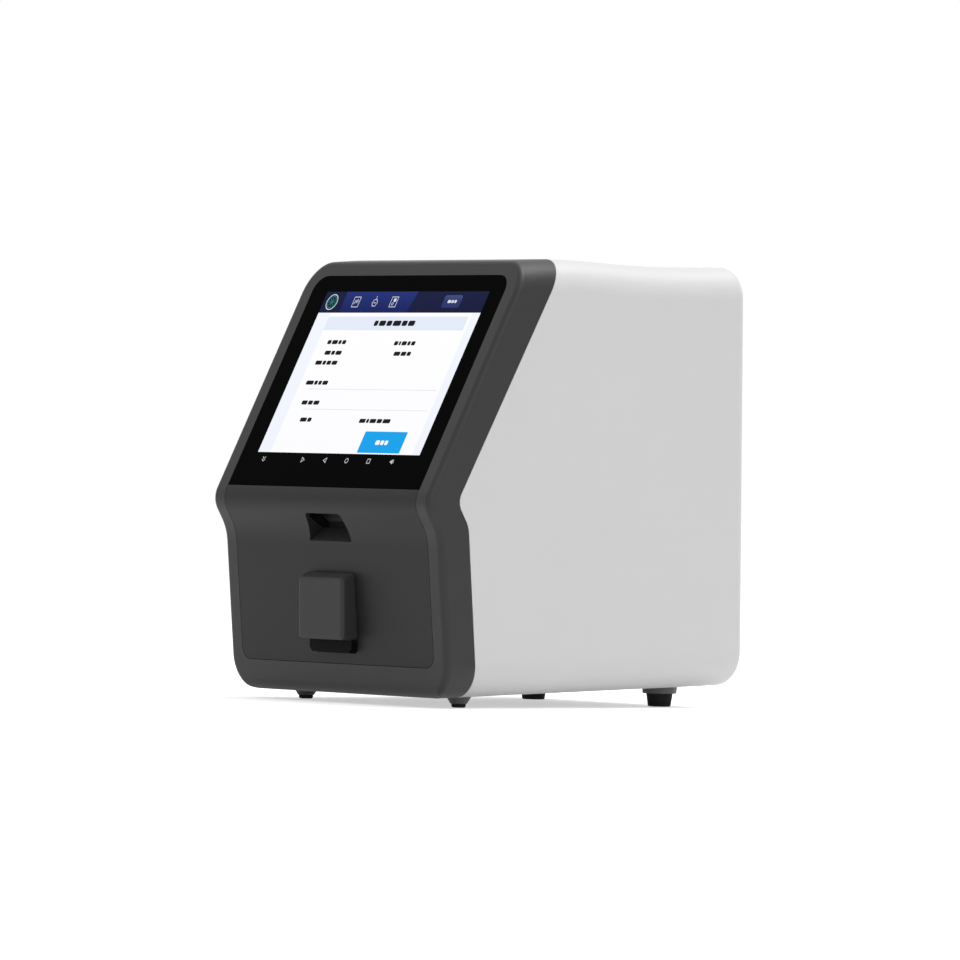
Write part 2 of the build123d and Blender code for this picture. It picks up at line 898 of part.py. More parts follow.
def rear_slab(x0, x1, v0, v1, depth0, depth1):
    middle = Pos(-(x0 + x1) / 2, (v0 + v1) / 2, -(depth0 + depth1) / 2)
    return rear_wall * middle * Box(x1 - x0, v1 - v0, depth1 - depth0)


def rear_box(x, v, half_x, half_v, depth0, depth1):
    return rear_slab(x - half_x, x + half_x, v - half_v, v + half_v, depth0, depth1)


def rear_rod(x, v, radius, depth0, depth1):
    return rear_wall * Pos(-x, v, -(depth0 + depth1) / 2) * Cylinder(radius, depth1 - depth0)


def row_of_slots(pitch):
    return [(index - (vent_count - 1) / 2) * pitch for index in range(vent_count)]


def lid_zone(gap, front_gap, radius):
    half = lid_half_width + gap
    zone = block(-half, half, lid_front - front_gap, lid_hinge_y, crest_height - lid_reach, far)
    front_corners = zone.edges().filter_by(Axis.Z).sort_by(Axis.Y)[:2]
    return fillet(front_corners, radius)


def make_rear_housing():
    through = wall + 10
    housing = shell - before_seam(seam_gap / 2)
    housing -= lid_zone(lid_gap, paper_slot, lid_corner_radius)
    barrel_half = lid_half_width + lid_gap
    barrel_way = hinge_radius + hinge_slot
    barrel_rear = lid_hinge_y + barrel_way
    housing -= cross_bar(barrel_way, barrel_half, lid_hinge_y, hinge_z)
    housing -= block(-barrel_half, barrel_half, lid_hinge_y, barrel_rear, hinge_z, far)
    housing -= rear_box(0, 0, io_half_width + io_gap, io_half_height + io_gap, -5, io_thickness)
    housing -= rear_box(0, 0, io_half_width - io_ledge, io_half_height - io_ledge, -5, through)
    housing -= rear_rod(fan_x, fan_height_above_io, guard_radius + io_gap, -5, through)
    for x in row_of_slots(vent_pitch):
        housing -= rear_box(vent_x + x, fan_height_above_io, vent_width / 2, vent_length / 2, -5, through)
    for x in row_of_slots(floor_vent_pitch):
        housing -= block(x - vent_width / 2, x + vent_width / 2, vent_front, vent_rear, 0, plate_bottom - 1)
    for x, y in boss_spots:
        housing += post(x, y, boss_radius, 0, plate_bottom) & case_form(tongue_bond)
        housing -= post(x, y, screw_core, plate_bottom - boss_hole_depth, plate_bottom + 1)
    for x in (-case_screw_x, case_screw_x):
        housing -= post(x, case_screw_y, screw_hole, 0, case_screw_top + wall + 1)
        housing -= post(x, case_screw_y, screw_head_radius + io_gap, 0, case_screw_top)
    return housing


def make_case_screws():
    screws = []
    for x in (-case_screw_x, case_screw_x):
        head = post(x, case_screw_y, screw_head_radius, case_screw_top - screw_head_height, case_screw_top)
        screws.append(head + post(x, case_screw_y, screw_core, case_screw_top, case_screw_top + screw_reach))
    return Compound(screws)


# Chassis
def make_base_plate():
    foot = plate_bottom - 1
    head = plate_top + 1
    plate = block(-plate_half_width, plate_half_width, plate_front, plate_rear, plate_bottom, plate_top)
    plate = chamfer(plate.edges().filter_by(Axis.Z), plate_corner)
    for x, y in boss_spots:
        plate -= post(x, y, screw_hole, foot, head)
    notch_half = tab_half_width + tab_clearance
    notch_end = case_screw_y + notch_half
    for x in (-case_screw_x, case_screw_x):
        plate -= block(x - notch_half, x + notch_half, plate_front - 1, notch_end, foot, head)
    window_x = tail_half_width + plate_window_gap
    window_end = window_x + plate_window_width
    window_y = vent_front + 2
    window = block(window_x, window_end, window_y, window_y + plate_window_length, foot, head)
    return plate - both_sides(window)


def make_base_screws():
    screws = []
    for x, y in boss_spots:
        head = post(x, y, screw_head_radius, plate_top, plate_top + screw_head_height)
        screws.append(head + post(x, y, screw_core, plate_top - screw_reach, plate_top))
    return Compound(screws)


def make_rail():
    rail_top = plate_top + rail_height
    rail = block(-rail_half_width, rail_half_width, rail_front, rail_front + rail_length, plate_top, rail_top)
    first = rail_front + (rail_length - (rail_hole_count - 1) * rail_hole_pitch) / 2
    for index in range(rail_hole_count):
        y = first + index * rail_hole_pitch
        rail -= post(0, y, rail_hole_radius, rail_top - rail_hole_depth, rail_top + 1)
    return rail


def make_guide():
    wall_x = tray_half_width + tray_clearance
    front = tray_front + guide_front_inset
    rear = tray_rear - guide_rear_inset
    shelf_top = tray_floor_height - tray_clearance
    lip_foot = tray_top + tray_clearance
    lip_top = lip_foot + guide_lip_thickness
    foot_x = wall_x + guide_wall
    guide = block(wall_x, foot_x, front, rear, plate_top, lip_top)
    guide += block(wall_x - guide_shelf, wall_x + 1, front, rear, shelf_top - guide_lip_thickness, shelf_top)
    guide += block(wall_x - guide_lip, wall_x + 1, front, rear, lip_foot, lip_top)
    foot_top = plate_top + plate_thickness
    guide += block(wall_x, foot_x + guide_foot, front + guide_foot, rear, plate_top, foot_top)
    return guide


# Card tray group
def make_card_tray():
    tray = block(-tray_half_width, tray_half_width, tray_front, tray_rear, tray_floor_height, tray_top)
    lower = tray.edges().filter_by(Axis.Y).filter_by(lambda e: e.center().Z < tray_floor_height + 1)
    tray = chamfer(lower, tray_chamfer)
    seat_front = tray_front + card_setback
    seat_rear = seat_front + card_length
    seat = block(-card_width / 2, card_width / 2, seat_front, seat_rear, tray_top - card_depth, tray_top + 5)
    tray -= fillet(seat.edges().filter_by(Axis.Z), card_corner_radius)
    tray -= cross_bar(card_depth, thumb_width / 2, seat_rear - thumb_setback, tray_top)
    rack_root = rack_pitch_x - rack_dedendum * gear_module
    tray += block(-tail_half_width, rack_root, tray_rear - 4, tail_end, tray_floor_height, tail_top)
    tray += make_rack_teeth(pinion_y - rack_lead, tail_end)
    slot_front = carriage_front + carriage_length + rail_end_gap
    tray -= block(-tail_half_width + tail_slot_side, tail_slot_right, slot_front, tail_end - tail_slot_margin,
                  tray_floor_height - 1, tail_top + 1)
    arm_foot = tail_top - flag_arm_thickness
    flag_end = flag_y + flag_length
    tray += block(flag_x, 2 - tail_half_width, flag_y, flag_end, arm_foot, tail_top)
    tray += block(flag_x - flag_thickness, flag_x, flag_y, flag_end, tray_floor_height - 1, tail_top)
    rear_of_upstand = tray_front + upstand_thickness
    tray += block(-upstand_half_width, upstand_half_width, tray_front, rear_of_upstand, tray_top - 1,
                  tray_top + upstand_height)
    return tray


def make_rack_teeth(y0, y1):
    pitch = pi * gear_module
    slope = tan(radians(pressure_angle))
    root_x = rack_pitch_x - rack_dedendum * gear_module
    tip_x = rack_pitch_x + gear_module
    half = pitch / 4 - gear_backlash / 2
    foot = half + slope * (rack_pitch_x - root_x)
    tip = half - slope * gear_module
    first = pinion_y + (int((y0 - pinion_y) / pitch) + 0.5) * pitch
    flank = [(root_x - 0.3, -foot), (root_x, -foot), (tip_x, -tip)]
    outline = flank + [(x, -y) for x, y in reversed(flank)]
    face = Plane.XY.offset(tray_floor_height) * make_face(Polyline(*outline, close=True))
    tooth = extrude(face, rack_height)
    count = int((y1 - foot - first) / pitch) + 1
    return Part() + [Pos(0, first + index * pitch, 0) * tooth for index in range(count)]


def make_tray_block():
    top_z = tray_top + block_height
    shoulder_z = tray_top + block_shoulder_height
    back = cover_face(tray_top) - block_gap
    points = [
        (block_front, tray_top),
        (block_front - tan(radians(block_lean)) * block_height, top_z),
        (cover_face(shoulder_z) - block_gap, shoulder_z),
        (back, tray_top),
    ]
    body = side_prism(points, block_half_width)
    front_edges = body.edges().filter_by(lambda e: e.center().Y < back - block_edge_radius)
    body = fillet(front_edges, block_edge_radius)
    grip_half = upstand_half_width + upstand_fit
    grip_rear = tray_front + upstand_thickness + upstand_fit
    return body - block(-grip_half, grip_half, tray_front - upstand_fit, grip_rear, tray_top - 1,
                        tray_top + upstand_height + upstand_fit)


def make_carriage():
    foot = plate_top + carriage_lift
    rear = carriage_front + carriage_length
    carriage = block(-carriage_half_width, carriage_half_width, carriage_front, rear, foot, tray_floor_height)
    half = rail_half_width + slide_clearance
    groove_top = plate_top + rail_height + slide_clearance
    return carriage - block(-half, half, carriage_front - 1, rear + 1, foot - 1, groove_top)


def make_carriage_screws():
    x = carriage_half_width - carriage_screw_inset
    rows = (carriage_front + carriage_screw_inset, carriage_front + carriage_length - carriage_screw_inset)
    top = tail_top + screw_head_height
    return Compound([post(side * x, y, screw_head_radius, tail_top, top) for side in (-1, 1) for y in rows])


def involute(base, angle):
    return (base * (cos(angle) + angle * sin(angle)), base * (sin(angle) - angle * cos(angle)))


def make_pinion():
    base = pinion_radius * cos(radians(pressure_angle))
    tip = pinion_radius + gear_module
    root = pinion_radius - rack_dedendum * gear_module
    tip_angle = ((tip / base) ** 2 - 1) ** 0.5
    pitch_angle = ((pinion_radius / base) ** 2 - 1) ** 0.5
    involute_at_pitch = pitch_angle - radians(pressure_angle)
    half_tooth = pi / (2 * pinion_teeth) - gear_backlash / 2 / pinion_radius + involute_at_pitch
    foot_radius = root - 0.2
    flank = [(foot_radius * cos(half_tooth), -foot_radius * sin(half_tooth))]
    for step in range(5):
        x, y = involute(base, tip_angle * step / 4)
        flank.append((x * cos(half_tooth) + y * sin(half_tooth), y * cos(half_tooth) - x * sin(half_tooth)))
    outline = flank + [(x, -y) for x, y in reversed(flank)]
    tooth = extrude(make_face(Polyline(*outline, close=True)), pinion_width)
    gear = post(0, 0, root, 0, pinion_width)
    gear += [Rotation(0, 0, 360 / pinion_teeth * index) * tooth for index in range(pinion_teeth)]
    gear += post(0, 0, pinion_hub_radius, pinion_width, pinion_width + pinion_hub_height)
    gear -= post(0, 0, shaft_radius, -1, pinion_width + pinion_hub_height + 1)
    return Pos(pinion_x, pinion_y, pinion_foot) * gear


def make_motor_shaft():
    return post(pinion_x, pinion_y, shaft_radius, pinion_foot - 1, motor_foot_height + shaft_reach)


def motor_spots():
    offset = motor_hole_spacing / 2
    return [(pinion_x + dx, pinion_y + dy) for dx in (-offset, offset) for dy in (-offset, offset)]


def make_motor():
    half = motor_size / 2
    body = block(-half, half, -half, half, motor_foot_height, motor_foot_height + motor_height)
    body = chamfer(body.edges().filter_by(Axis.Z), motor_chamfer)
    body += post(0, 0, pilot_radius, motor_foot_height - pilot_height, motor_foot_height)
    bore_top = motor_foot_height + shaft_reach + 1
    body -= post(0, 0, shaft_radius + shaft_fit, motor_foot_height - pilot_height - 1, bore_top)
    return Pos(pinion_x, pinion_y, 0) * body


def make_motor_bracket():
    sheet = motor_bracket_thickness
    table_foot = motor_foot_height - sheet
    head = motor_foot_height + 1
    half = motor_size / 2
    leg_x = pinion_x + half + motor_side_gap
    y0 = pinion_y - half - motor_bracket_margin
    y1 = pinion_y + half + motor_bracket_margin
    bracket = block(pinion_x - half, leg_x + sheet, y0, y1, table_foot, motor_foot_height)
    bracket += block(leg_x, leg_x + sheet, y0, y1, plate_top, motor_foot_height)
    bracket += block(leg_x, leg_x + motor_bracket_foot, y0, y1, plate_top, plate_top + sheet)
    bracket -= post(pinion_x, pinion_y, pilot_radius + motor_bracket_fit, table_foot - 1, head)
    for x, y in motor_spots():
        bracket -= post(x, y, screw_hole, table_foot - 1, head)
    return bracket


def make_motor_screws():
    table_foot = motor_foot_height - motor_bracket_thickness
    screws = []
    for x, y in motor_spots():
        head = post(x, y, motor_screw_head_radius, table_foot - motor_screw_head_height, table_foot)
        screws.append(head + post(x, y, screw_core, table_foot, motor_foot_height))
    return Compound(screws)


def make_home_sensor():
    middle = flag_x - flag_thickness / 2
    y0 = flag_y - sensor_margin
    y1 = flag_y + flag_length + sensor_margin
    top = tail_top - flag_arm_thickness - sensor_gap
    body = block(middle - sensor_half_width, middle + sensor_half_width, y0, y1, plate_top, top)
    slot_foot = tray_floor_height - 1 - flag_gap
    return body - block(middle - flag_gap, middle + flag_gap, y0 - 1, y1 + 1, slot_foot, top + 1)


# Optical head over the tray
def make_bridge():
    y0 = head_y - head_half
    y1 = head_y + head_half
    x0 = bridge_half_width - bridge_thickness
    top = head_top + bridge_thickness
    leg = block(x0, bridge_half_width, y0, y1, plate_top, top)
    foot = block(x0, bridge_half_width + bridge_foot, y0, y1, plate_top, plate_top + bridge_thickness)
    bridge = both_sides(leg + foot) + block(-bridge_half_width, bridge_half_width, y0, y1, head_top, top)
    return bridge - post(0, head_y, light_bore_radius + bridge_hole_gap, head_top - 1, top + 1)


def make_optics_block():
    y1 = head_y + head_half
    body = block(-head_half, head_half, head_y - head_half, y1, head_foot_height, head_top)
    body = chamfer(body.edges().filter_by(Axis.Z), head_chamfer)
    body -= post(0, head_y, light_bore_radius, head_foot_height - 1, head_top + 1)
    return body - round_bar(side_bore_radius, (0, head_y, light_z), (0, y1 + 1, light_z))


def disc_in_bore(z0, z1):
    return post(0, head_y, light_bore_radius - bore_fit, z0, z1)


def disc_in_side_bore(y0, y1):
    return round_bar(side_bore_radius - bore_fit, (0, y0, light_z), (0, y1, light_z))


def make_objective():
    foot = head_foot_height + lens_inset
    return disc_in_bore(foot, foot + lens_length) & Pos(0, head_y, foot + lens_curve) * Sphere(lens_curve)


def make_mirror():
    return Pos(0, head_y, light_z) * Rotation(45, 0, 0) * Box(*mirror_size)


def make_head_sink():
    y0 = head_y + head_half
    z0 = light_z - head_sink_half_height
    z1 = light_z + head_sink_half_height
    half = head_sink_half_width
    sink = block(-half, half, y0, y0 + head_sink_base, z0, z1)
    pitch = (2 * half - sink_fin) / (head_sink_fin_count - 1)
    for index in range(head_sink_fin_count):
        x = index * pitch - half
        sink += block(x, x + sink_fin, y0, y0 + head_sink_depth, z0, z1)
    return sink


def make_detector_board():
    half = detector_board_half
    foot = head_top + bridge_thickness + detector_proud
    face = foot + board_thickness
    plug_y = head_y + half - detector_plug_width
    board = block(-half, half, head_y - half, head_y + half, foot, face)
    plug_rear = head_y + half - detector_plug_inset
    plug_top = face + detector_plug_height
    return board + block(-detector_plug_width, detector_plug_width, plug_y, plug_rear, foot, plug_top)


# Printer
def make_printer_bucket():
    half = bay_half + bay_wall
    foot = bay_foot - bay_wall
    bucket = block(-half, half, bay_front - bay_wall, bay_rear + bay_wall, foot, crest_height) & inner
    bucket -= block(-bay_half, bay_half, bay_front, bay_rear, bay_foot, crest_height + 1)
    return bucket - cross_bar(hinge_pin_radius, half + 1, lid_hinge_y, hinge_z)


def make_printer_lid():
    lid = shell & lid_zone(0, 0, lid_corner_radius - lid_gap)
    lid += cross_bar(hinge_radius, lid_half_width, lid_hinge_y, hinge_z)
    ear_x = platen_half_length + ear_gap
    ear_foot = platen_z - ear_drop
    ear_end = platen_y + ear_rear
    ear = block(ear_x, ear_x + ear_thickness, platen_y - ear_front, ear_end, ear_foot, crest_height)
    lid += both_sides(ear) & case_form(tongue_bond)
    lid -= cross_bar(platen_pin_radius + hinge_pin_fit, lid_half_width, platen_y, platen_z)
    return lid - cross_bar(hinge_pin_radius + hinge_pin_fit, lid_half_width + 1, lid_hinge_y, hinge_z)


def make_hinge_pin():
    return cross_bar(hinge_pin_radius, bay_half + bay_wall - hinge_pin_inset, lid_hinge_y, hinge_z)


def make_platen():
    roller = cross_bar(platen_radius, platen_half_length, platen_y, platen_z)
    return roller + cross_bar(platen_pin_radius, platen_half_length + platen_pin_length, platen_y, platen_z)


def make_print_head():
    rear = platen_y - platen_radius - paper_gap
    half = print_head_half_width
    return block(-half, half, bay_front, rear, platen_z - print_head_below, platen_z + print_head_above)


# Feet: a moulded cone under the floor with a rubber sole
under_floor = side_prism([(-far, floor_height(-far)), (far, floor_height(far)), (far, -far), (-far, -far)])


def foot_cones(half_x, y, sole_height, foot_radius, flange_radius):
    taper = (flange_radius - foot_radius) / (floor_height(y) - sole_height)
    height = floor_height(y) - sole_height + 2
    cone = Pos(0, y, sole_height + height / 2) * Cone(foot_radius, foot_radius + taper * height, height)
    cone = cone & under_floor
    return Compound([Pos(-half_x, 0, 0) * cone, Pos(half_x, 0, 0) * cone])


def foot_soles(half_x, y, sole_height, lower_radius, upper_radius):
    sole = Pos(0, y, 0) * round_bar(upper_radius, (0, 0, 0), (0, 0, sole_height))
    if lower_radius < upper_radius:
        sole = Pos(0, y, sole_height / 2) * Cone(lower_radius, upper_radius, sole_height)
    sole = fillet(sole.edges().filter_by(lambda e: e.center().Z < 0.1), sole_round)
    return Compound([Pos(-half_x, 0, 0) * sole, Pos(half_x, 0, 0) * sole])


# Rear fittings
def data_port_middles():
    return [data_x - data_spacing / 2, data_x + data_spacing / 2]


def make_io_plate():
    plate = rear_box(0, 0, io_half_width, io_half_height, 0, io_thickness)
    plate = fillet(plate.edges().filter_by(lambda e: abs(e.length - io_thickness) < 0.01), io_corner_radius)
    cuts = [
        (inlet_x, inlet_size / 2, inlet_size / 2),
        (switch_x, switch_half_width - switch_rim, switch_half_height - switch_rim),
        (network_x, network_width / 2, network_height / 2),
    ]
    cuts += [(x, data_width / 2, data_height / 2) for x in data_port_middles()]
    for x, half_x, half_v in cuts:
        plate -= rear_box(x, 0, half_x + port_gap, half_v + port_gap, -1, io_thickness + 1)
    for side in (-1, 1):
        plate -= rear_rod(side * (io_half_width - io_screw_inset), 0, screw_hole, -1, io_thickness + 1)
    return plate


def make_io_screws():
    screws = []
    for side in (-1, 1):
        x = side * (io_half_width - io_screw_inset)
        head = rear_rod(x, 0, screw_head_radius, -io_screw_head, 0)
        screws.append(head + rear_rod(x, 0, screw_core, 0, screw_reach))
    return Compound(screws)


def port_box(x, width, height, socket):
    body = rear_box(x, 0, width / 2, height / 2, -port_proud, port_depth)
    return body - rear_box(x, 0, socket[0] / 2, socket[1] / 2, -port_proud - 1, port_depth - port_back)


def make_inlet():
    body = rear_box(inlet_x, 0, inlet_size / 2, inlet_size / 2, -port_proud, port_depth)
    body -= rear_rod(inlet_x, 0, inlet_bore_radius, -port_proud - 1, port_depth - port_back)
    return body + rear_rod(inlet_x, 0, inlet_pin_radius, 1.5, port_depth - port_back)


def make_data_ports():
    ports = [port_box(x, data_width, data_height, data_socket) for x in data_port_middles()]
    return Compound([port.solid() for port in ports])


def make_switch_frame():
    rim = switch_rim
    frame = rear_box(switch_x, 0, switch_half_width, switch_half_height, -switch_lip, 0)
    frame += rear_box(switch_x, 0, switch_half_width - rim, switch_half_height - rim, 0, port_depth)
    way = rear_box(switch_x, 0, rocker_half_width + rocker_side_gap, rocker_half_height + rocker_end_gap,
                   -switch_lip - 1, rocker_well_depth)
    return frame - way


def make_rocker():
    half = rocker_half_height
    profile = [(-half, 0), (-half, rocker_end_height), (0, rocker_middle_height), (half, rocker_end_height),
               (half, 0), (0, -rocker_root)]
    body = side_prism(profile, rocker_half_width)
    return rear_wall * Pos(-switch_x, 0, -rocker_pivot_depth) * Rotation(-rocker_tilt, 0, 0) * body


def make_fan_frame():
    v = fan_height_above_io
    frame = rear_box(fan_x, v, fan_half_size, fan_half_size, fan_seat, fan_rear)
    frame = fillet(frame.edges().filter_by(lambda e: abs(e.length - fan_thickness) < 0.01), fan_corner_radius)
    frame -= rear_rod(fan_x, v, fan_bore_radius, fan_seat - 1, fan_rear + 1)
    frame += rear_rod(fan_x, v, fan_hub_radius, fan_rear - fan_arm_thickness, fan_rear)
    arm = Box(2 * fan_bore_radius + 1, fan_arm_width, fan_arm_thickness)
    for turn in (45, 135):
        frame += rear_wall * Pos(-fan_x, v, fan_arm_thickness / 2 - fan_rear) * Rotation(0, 0, turn) * arm
    mount = fan_half_size - fan_hole_inset
    for dx in (-mount, mount):
        for dv in (-mount, mount):
            frame -= rear_rod(fan_x + dx, v + dv, screw_hole, fan_seat - 1, fan_rear + 1)
    return frame


def make_fan_rotor():
    near = fan_seat + rotor_gap
    length = fan_rear - fan_arm_thickness - rotor_gap - near
    blade_span = fan_blade_radius - fan_hub_radius + 1.5
    blade = Box(blade_span, fan_blade_chord, fan_blade_thickness)
    blade = Pos(fan_hub_radius - 1 + blade_span / 2, 0, 0) * Rotation(fan_blade_pitch, 0, 0) * blade
    rotor = Cylinder(fan_hub_radius, length)
    rotor += [Rotation(0, 0, 360 / fan_blade_count * index) * blade for index in range(fan_blade_count)]
    rotor = rotor & Cylinder(fan_blade_radius, length)
    return rear_wall * Pos(-fan_x, fan_height_above_io, -near - length / 2) * rotor


def make_fan_guard():
    v = fan_height_above_io
    guard = rear_rod(fan_x, v, guard_radius, guard_recess, guard_thickness)
    for inside, outside in guard_openings:
        guard -= rear_rod(fan_x, v, outside, -1, 5) - rear_rod(fan_x, v, inside, -2, 6)
    bar = Box(2 * guard_radius - 1, guard_bar, guard_thickness - guard_recess)
    for turn in (0, 90):
        middle = Pos(-fan_x, v, -(guard_recess + guard_thickness) / 2)
        guard += rear_wall * middle * Rotation(0, 0, turn) * bar
    return guard


def make_power_board():
    foot = plate_top + power_board_lift
    face = foot + board_thickness
    x0 = power_board_left
    x1 = power_board_right
    part_y = power_board_front + power_part_inset
    board = block(x0, x1, power_board_front, power_board_rear, foot, face)
    half = transformer_size / 2
    coil_x = x0 + power_part_inset
    coil_top = face + transformer_height
    board += block(coil_x - half, coil_x + half, part_y - half, part_y + half, foot, coil_top)
    for row in (0, 1):
        y = part_y + row * power_part_inset
        board += post(x1 - power_part_inset, y, capacitor_radius, foot, face + capacitor_height)
    return board


def make_power_standoffs():
    columns = (power_board_left + standoff_inset, power_board_right - standoff_inset)
    rows = (power_board_front + standoff_inset, power_board_rear - standoff_inset)
    top = plate_top + power_board_lift
    return Compound([post(x, y, standoff_radius, plate_top, top) for x in columns for y in rows])


front_foot = (half_width - front_foot_side_inset, front_y + front_foot_inset, front_sole_height)
rear_foot = (half_width - rear_foot_side_inset, rear_y - rear_foot_inset, rear_sole_height)
parts = {
    "front_shell": make_front_shell(),
    "front_cover": make_front_cover(),
    "rear_housing": make_rear_housing(),
    "cover_glass": make_glass(),
    "display_panel": make_display(),
    "display_bracket": make_display_bracket(),
    "display_screws": make_display_screws(),
    "board_standoffs": make_board_standoffs(),
    "main_board": make_main_board(),
    "board_heat_sink": make_board_heat_sink(),
    "scanner_window": make_scanner_window(),
    "scanner_body": make_scanner_body(),
    "base_plate": make_base_plate(),
    "base_screws": make_base_screws(),
    "case_screws": make_case_screws(),
    "linear_rail": make_rail(),
    "guide_left": mirror(make_guide(), about=Plane.YZ),
    "guide_right": make_guide(),
    "card_tray": make_card_tray(),
    "tray_block": make_tray_block(),
    "rail_carriage": make_carriage(),
    "carriage_screws": make_carriage_screws(),
    "drive_pinion": make_pinion(),
    "motor_shaft": make_motor_shaft(),
    "tray_motor": make_motor(),
    "motor_bracket": make_motor_bracket(),
    "motor_screws": make_motor_screws(),
    "home_sensor": make_home_sensor(),
    "optics_bridge": make_bridge(),
    "optics_block": make_optics_block(),
    "objective_lens": make_objective(),
    "dichroic_mirror": make_mirror(),
    "excitation_filter": disc_in_side_bore(head_y + filter_offset, head_y + filter_offset + filter_thickness),
    "emission_filter": disc_in_bore(light_z + filter_offset, light_z + filter_offset + filter_thickness),
    "light_source": disc_in_side_bore(head_y + head_half - light_source_length, head_y + head_half),
    "optics_heat_sink": make_head_sink(),
    "detector": disc_in_bore(head_top - detector_depth, head_top + bridge_thickness + detector_proud),
    "detector_board": make_detector_board(),
    "printer_bucket": make_printer_bucket(),
    "printer_lid": make_printer_lid(),
    "hinge_pin": make_hinge_pin(),
    "platen_roller": make_platen(),
    "print_head": make_print_head(),
    "front_feet": foot_cones(*front_foot, front_flange_foot_radius, front_flange_radius),
    "front_soles": foot_soles(*front_foot, front_sole_radius, front_sole_radius),
    "rear_feet": foot_cones(*rear_foot, rear_flange_foot_radius, rear_flange_radius),
    "rear_soles": foot_soles(*rear_foot, rear_sole_foot_radius, rear_sole_radius),
    "io_plate": make_io_plate(),
    "io_screws": make_io_screws(),
    "power_inlet": make_inlet(),
    "switch_frame": make_switch_frame(),
    "power_rocker": make_rocker(),
    "network_port": port_box(network_x, network_width, network_height, network_socket),
    "data_ports": make_data_ports(),
    "fan_frame": make_fan_frame(),
    "fan_rotor": make_fan_rotor(),
    "fan_guard": make_fan_guard(),
    "power_board": make_power_board(),
    "power_standoffs": make_power_standoffs(),
}

os.makedirs("parts", exist_ok=True)
for name, shape in parts.items():
    export_step(shape, f"parts/{name}.step")
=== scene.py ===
"""Dresses the bench analyzer: finishes for every solid, the lit screen, and a plain studio."""

import logging
import math
from dataclasses import dataclass, field
from enum import Enum

import bpy
from mathutils import Matrix, Vector

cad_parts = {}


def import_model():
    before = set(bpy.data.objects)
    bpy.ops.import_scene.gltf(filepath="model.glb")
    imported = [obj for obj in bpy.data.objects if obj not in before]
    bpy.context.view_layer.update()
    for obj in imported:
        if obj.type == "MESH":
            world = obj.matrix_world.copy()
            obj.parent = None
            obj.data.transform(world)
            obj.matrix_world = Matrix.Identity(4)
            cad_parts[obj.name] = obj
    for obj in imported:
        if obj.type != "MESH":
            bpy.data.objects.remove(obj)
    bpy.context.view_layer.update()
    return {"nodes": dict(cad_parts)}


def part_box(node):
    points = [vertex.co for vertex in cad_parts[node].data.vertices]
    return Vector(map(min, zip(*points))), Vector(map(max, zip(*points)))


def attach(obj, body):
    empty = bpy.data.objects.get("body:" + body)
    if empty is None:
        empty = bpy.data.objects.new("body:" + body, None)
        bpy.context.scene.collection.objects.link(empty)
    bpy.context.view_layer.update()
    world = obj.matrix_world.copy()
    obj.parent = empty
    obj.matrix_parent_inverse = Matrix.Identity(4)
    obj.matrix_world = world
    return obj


log = logging.getLogger("analyzer")

Colour = tuple[float, float, float]

MM = 0.001
DUST_COLOUR = (0.42, 0.41, 0.39)
SCREEN_BLACK = (0.001, 0.001, 0.0011)
SCREEN_SPECULAR = 0.006


# Small helpers for shader trees and for modelling


def clear_selection() -> None:
    """Leaves edit mode and deselects every object."""
    if bpy.context.object and bpy.context.object.mode != "OBJECT":
        bpy.ops.object.mode_set(mode="OBJECT")
    bpy.ops.object.select_all(action="DESELECT")


def only(obj: bpy.types.Object) -> None:
    """Selects one object and makes it active."""
    clear_selection()
    obj.select_set(True)
    bpy.context.view_layer.objects.active = obj


def shade_by_angle(obj: bpy.types.Object, degrees: float = 30.0) -> None:
    """Smooths an object's faces up to an angle."""
    only(obj)
    bpy.ops.object.shade_smooth_by_angle(angle=math.radians(degrees))


def round_corners(radius: float, segments: int) -> None:
    """Rounds the corners of the flat shape that is active.

    Args:
        radius: rounding in the shape's own units.
        segments: edges along each rounding.
    """
    bpy.ops.object.mode_set(mode="EDIT")
    bpy.ops.mesh.select_all(action="SELECT")
    bpy.ops.mesh.bevel(offset=radius, segments=segments, affect="VERTICES")
    bpy.ops.object.mode_set(mode="OBJECT")


def add_polygon(x: float, y: float, radius: float, sides: int, turn: float) -> bpy.types.Object:
    """Adds a flat regular polygon.

    Args:
        x: middle.
        y: middle.
        radius: outer radius.
        sides: number of sides.
        turn: degrees by which it is turned.

    Returns:
        The polygon.
    """
    bpy.ops.mesh.primitive_circle_add(
        vertices=sides,
        radius=radius,
        fill_type="NGON",
        location=(x, y, 0),
        rotation=(0, 0, math.radians(turn)),
    )
    return bpy.context.object


def settle(obj: bpy.types.Object, place: Matrix) -> None:
    """Writes a placement into the mesh, so that the object sits at the origin.

    Args:
        obj: the piece, modelled in its own plane.
        place: from that plane to the row frame.
    """
    only(obj)
    bpy.ops.object.transform_apply(location=True, rotation=True, scale=True)
    obj.matrix_world = place
    bpy.ops.object.transform_apply(location=True, rotation=True, scale=True)


def join(pieces: list[bpy.types.Object], name: str) -> bpy.types.Object:
    """Joins pieces into one object.

    Args:
        pieces: one or more mesh objects.
        name: the joined object's name.

    Returns:
        The joined object.
    """
    clear_selection()
    for piece in pieces:
        piece.select_set(True)
    bpy.context.view_layer.objects.active = pieces[0]
    if len(pieces) > 1:
        bpy.ops.object.join()
    pieces[0].name = name
    pieces[0].data.name = name
    return pieces[0]


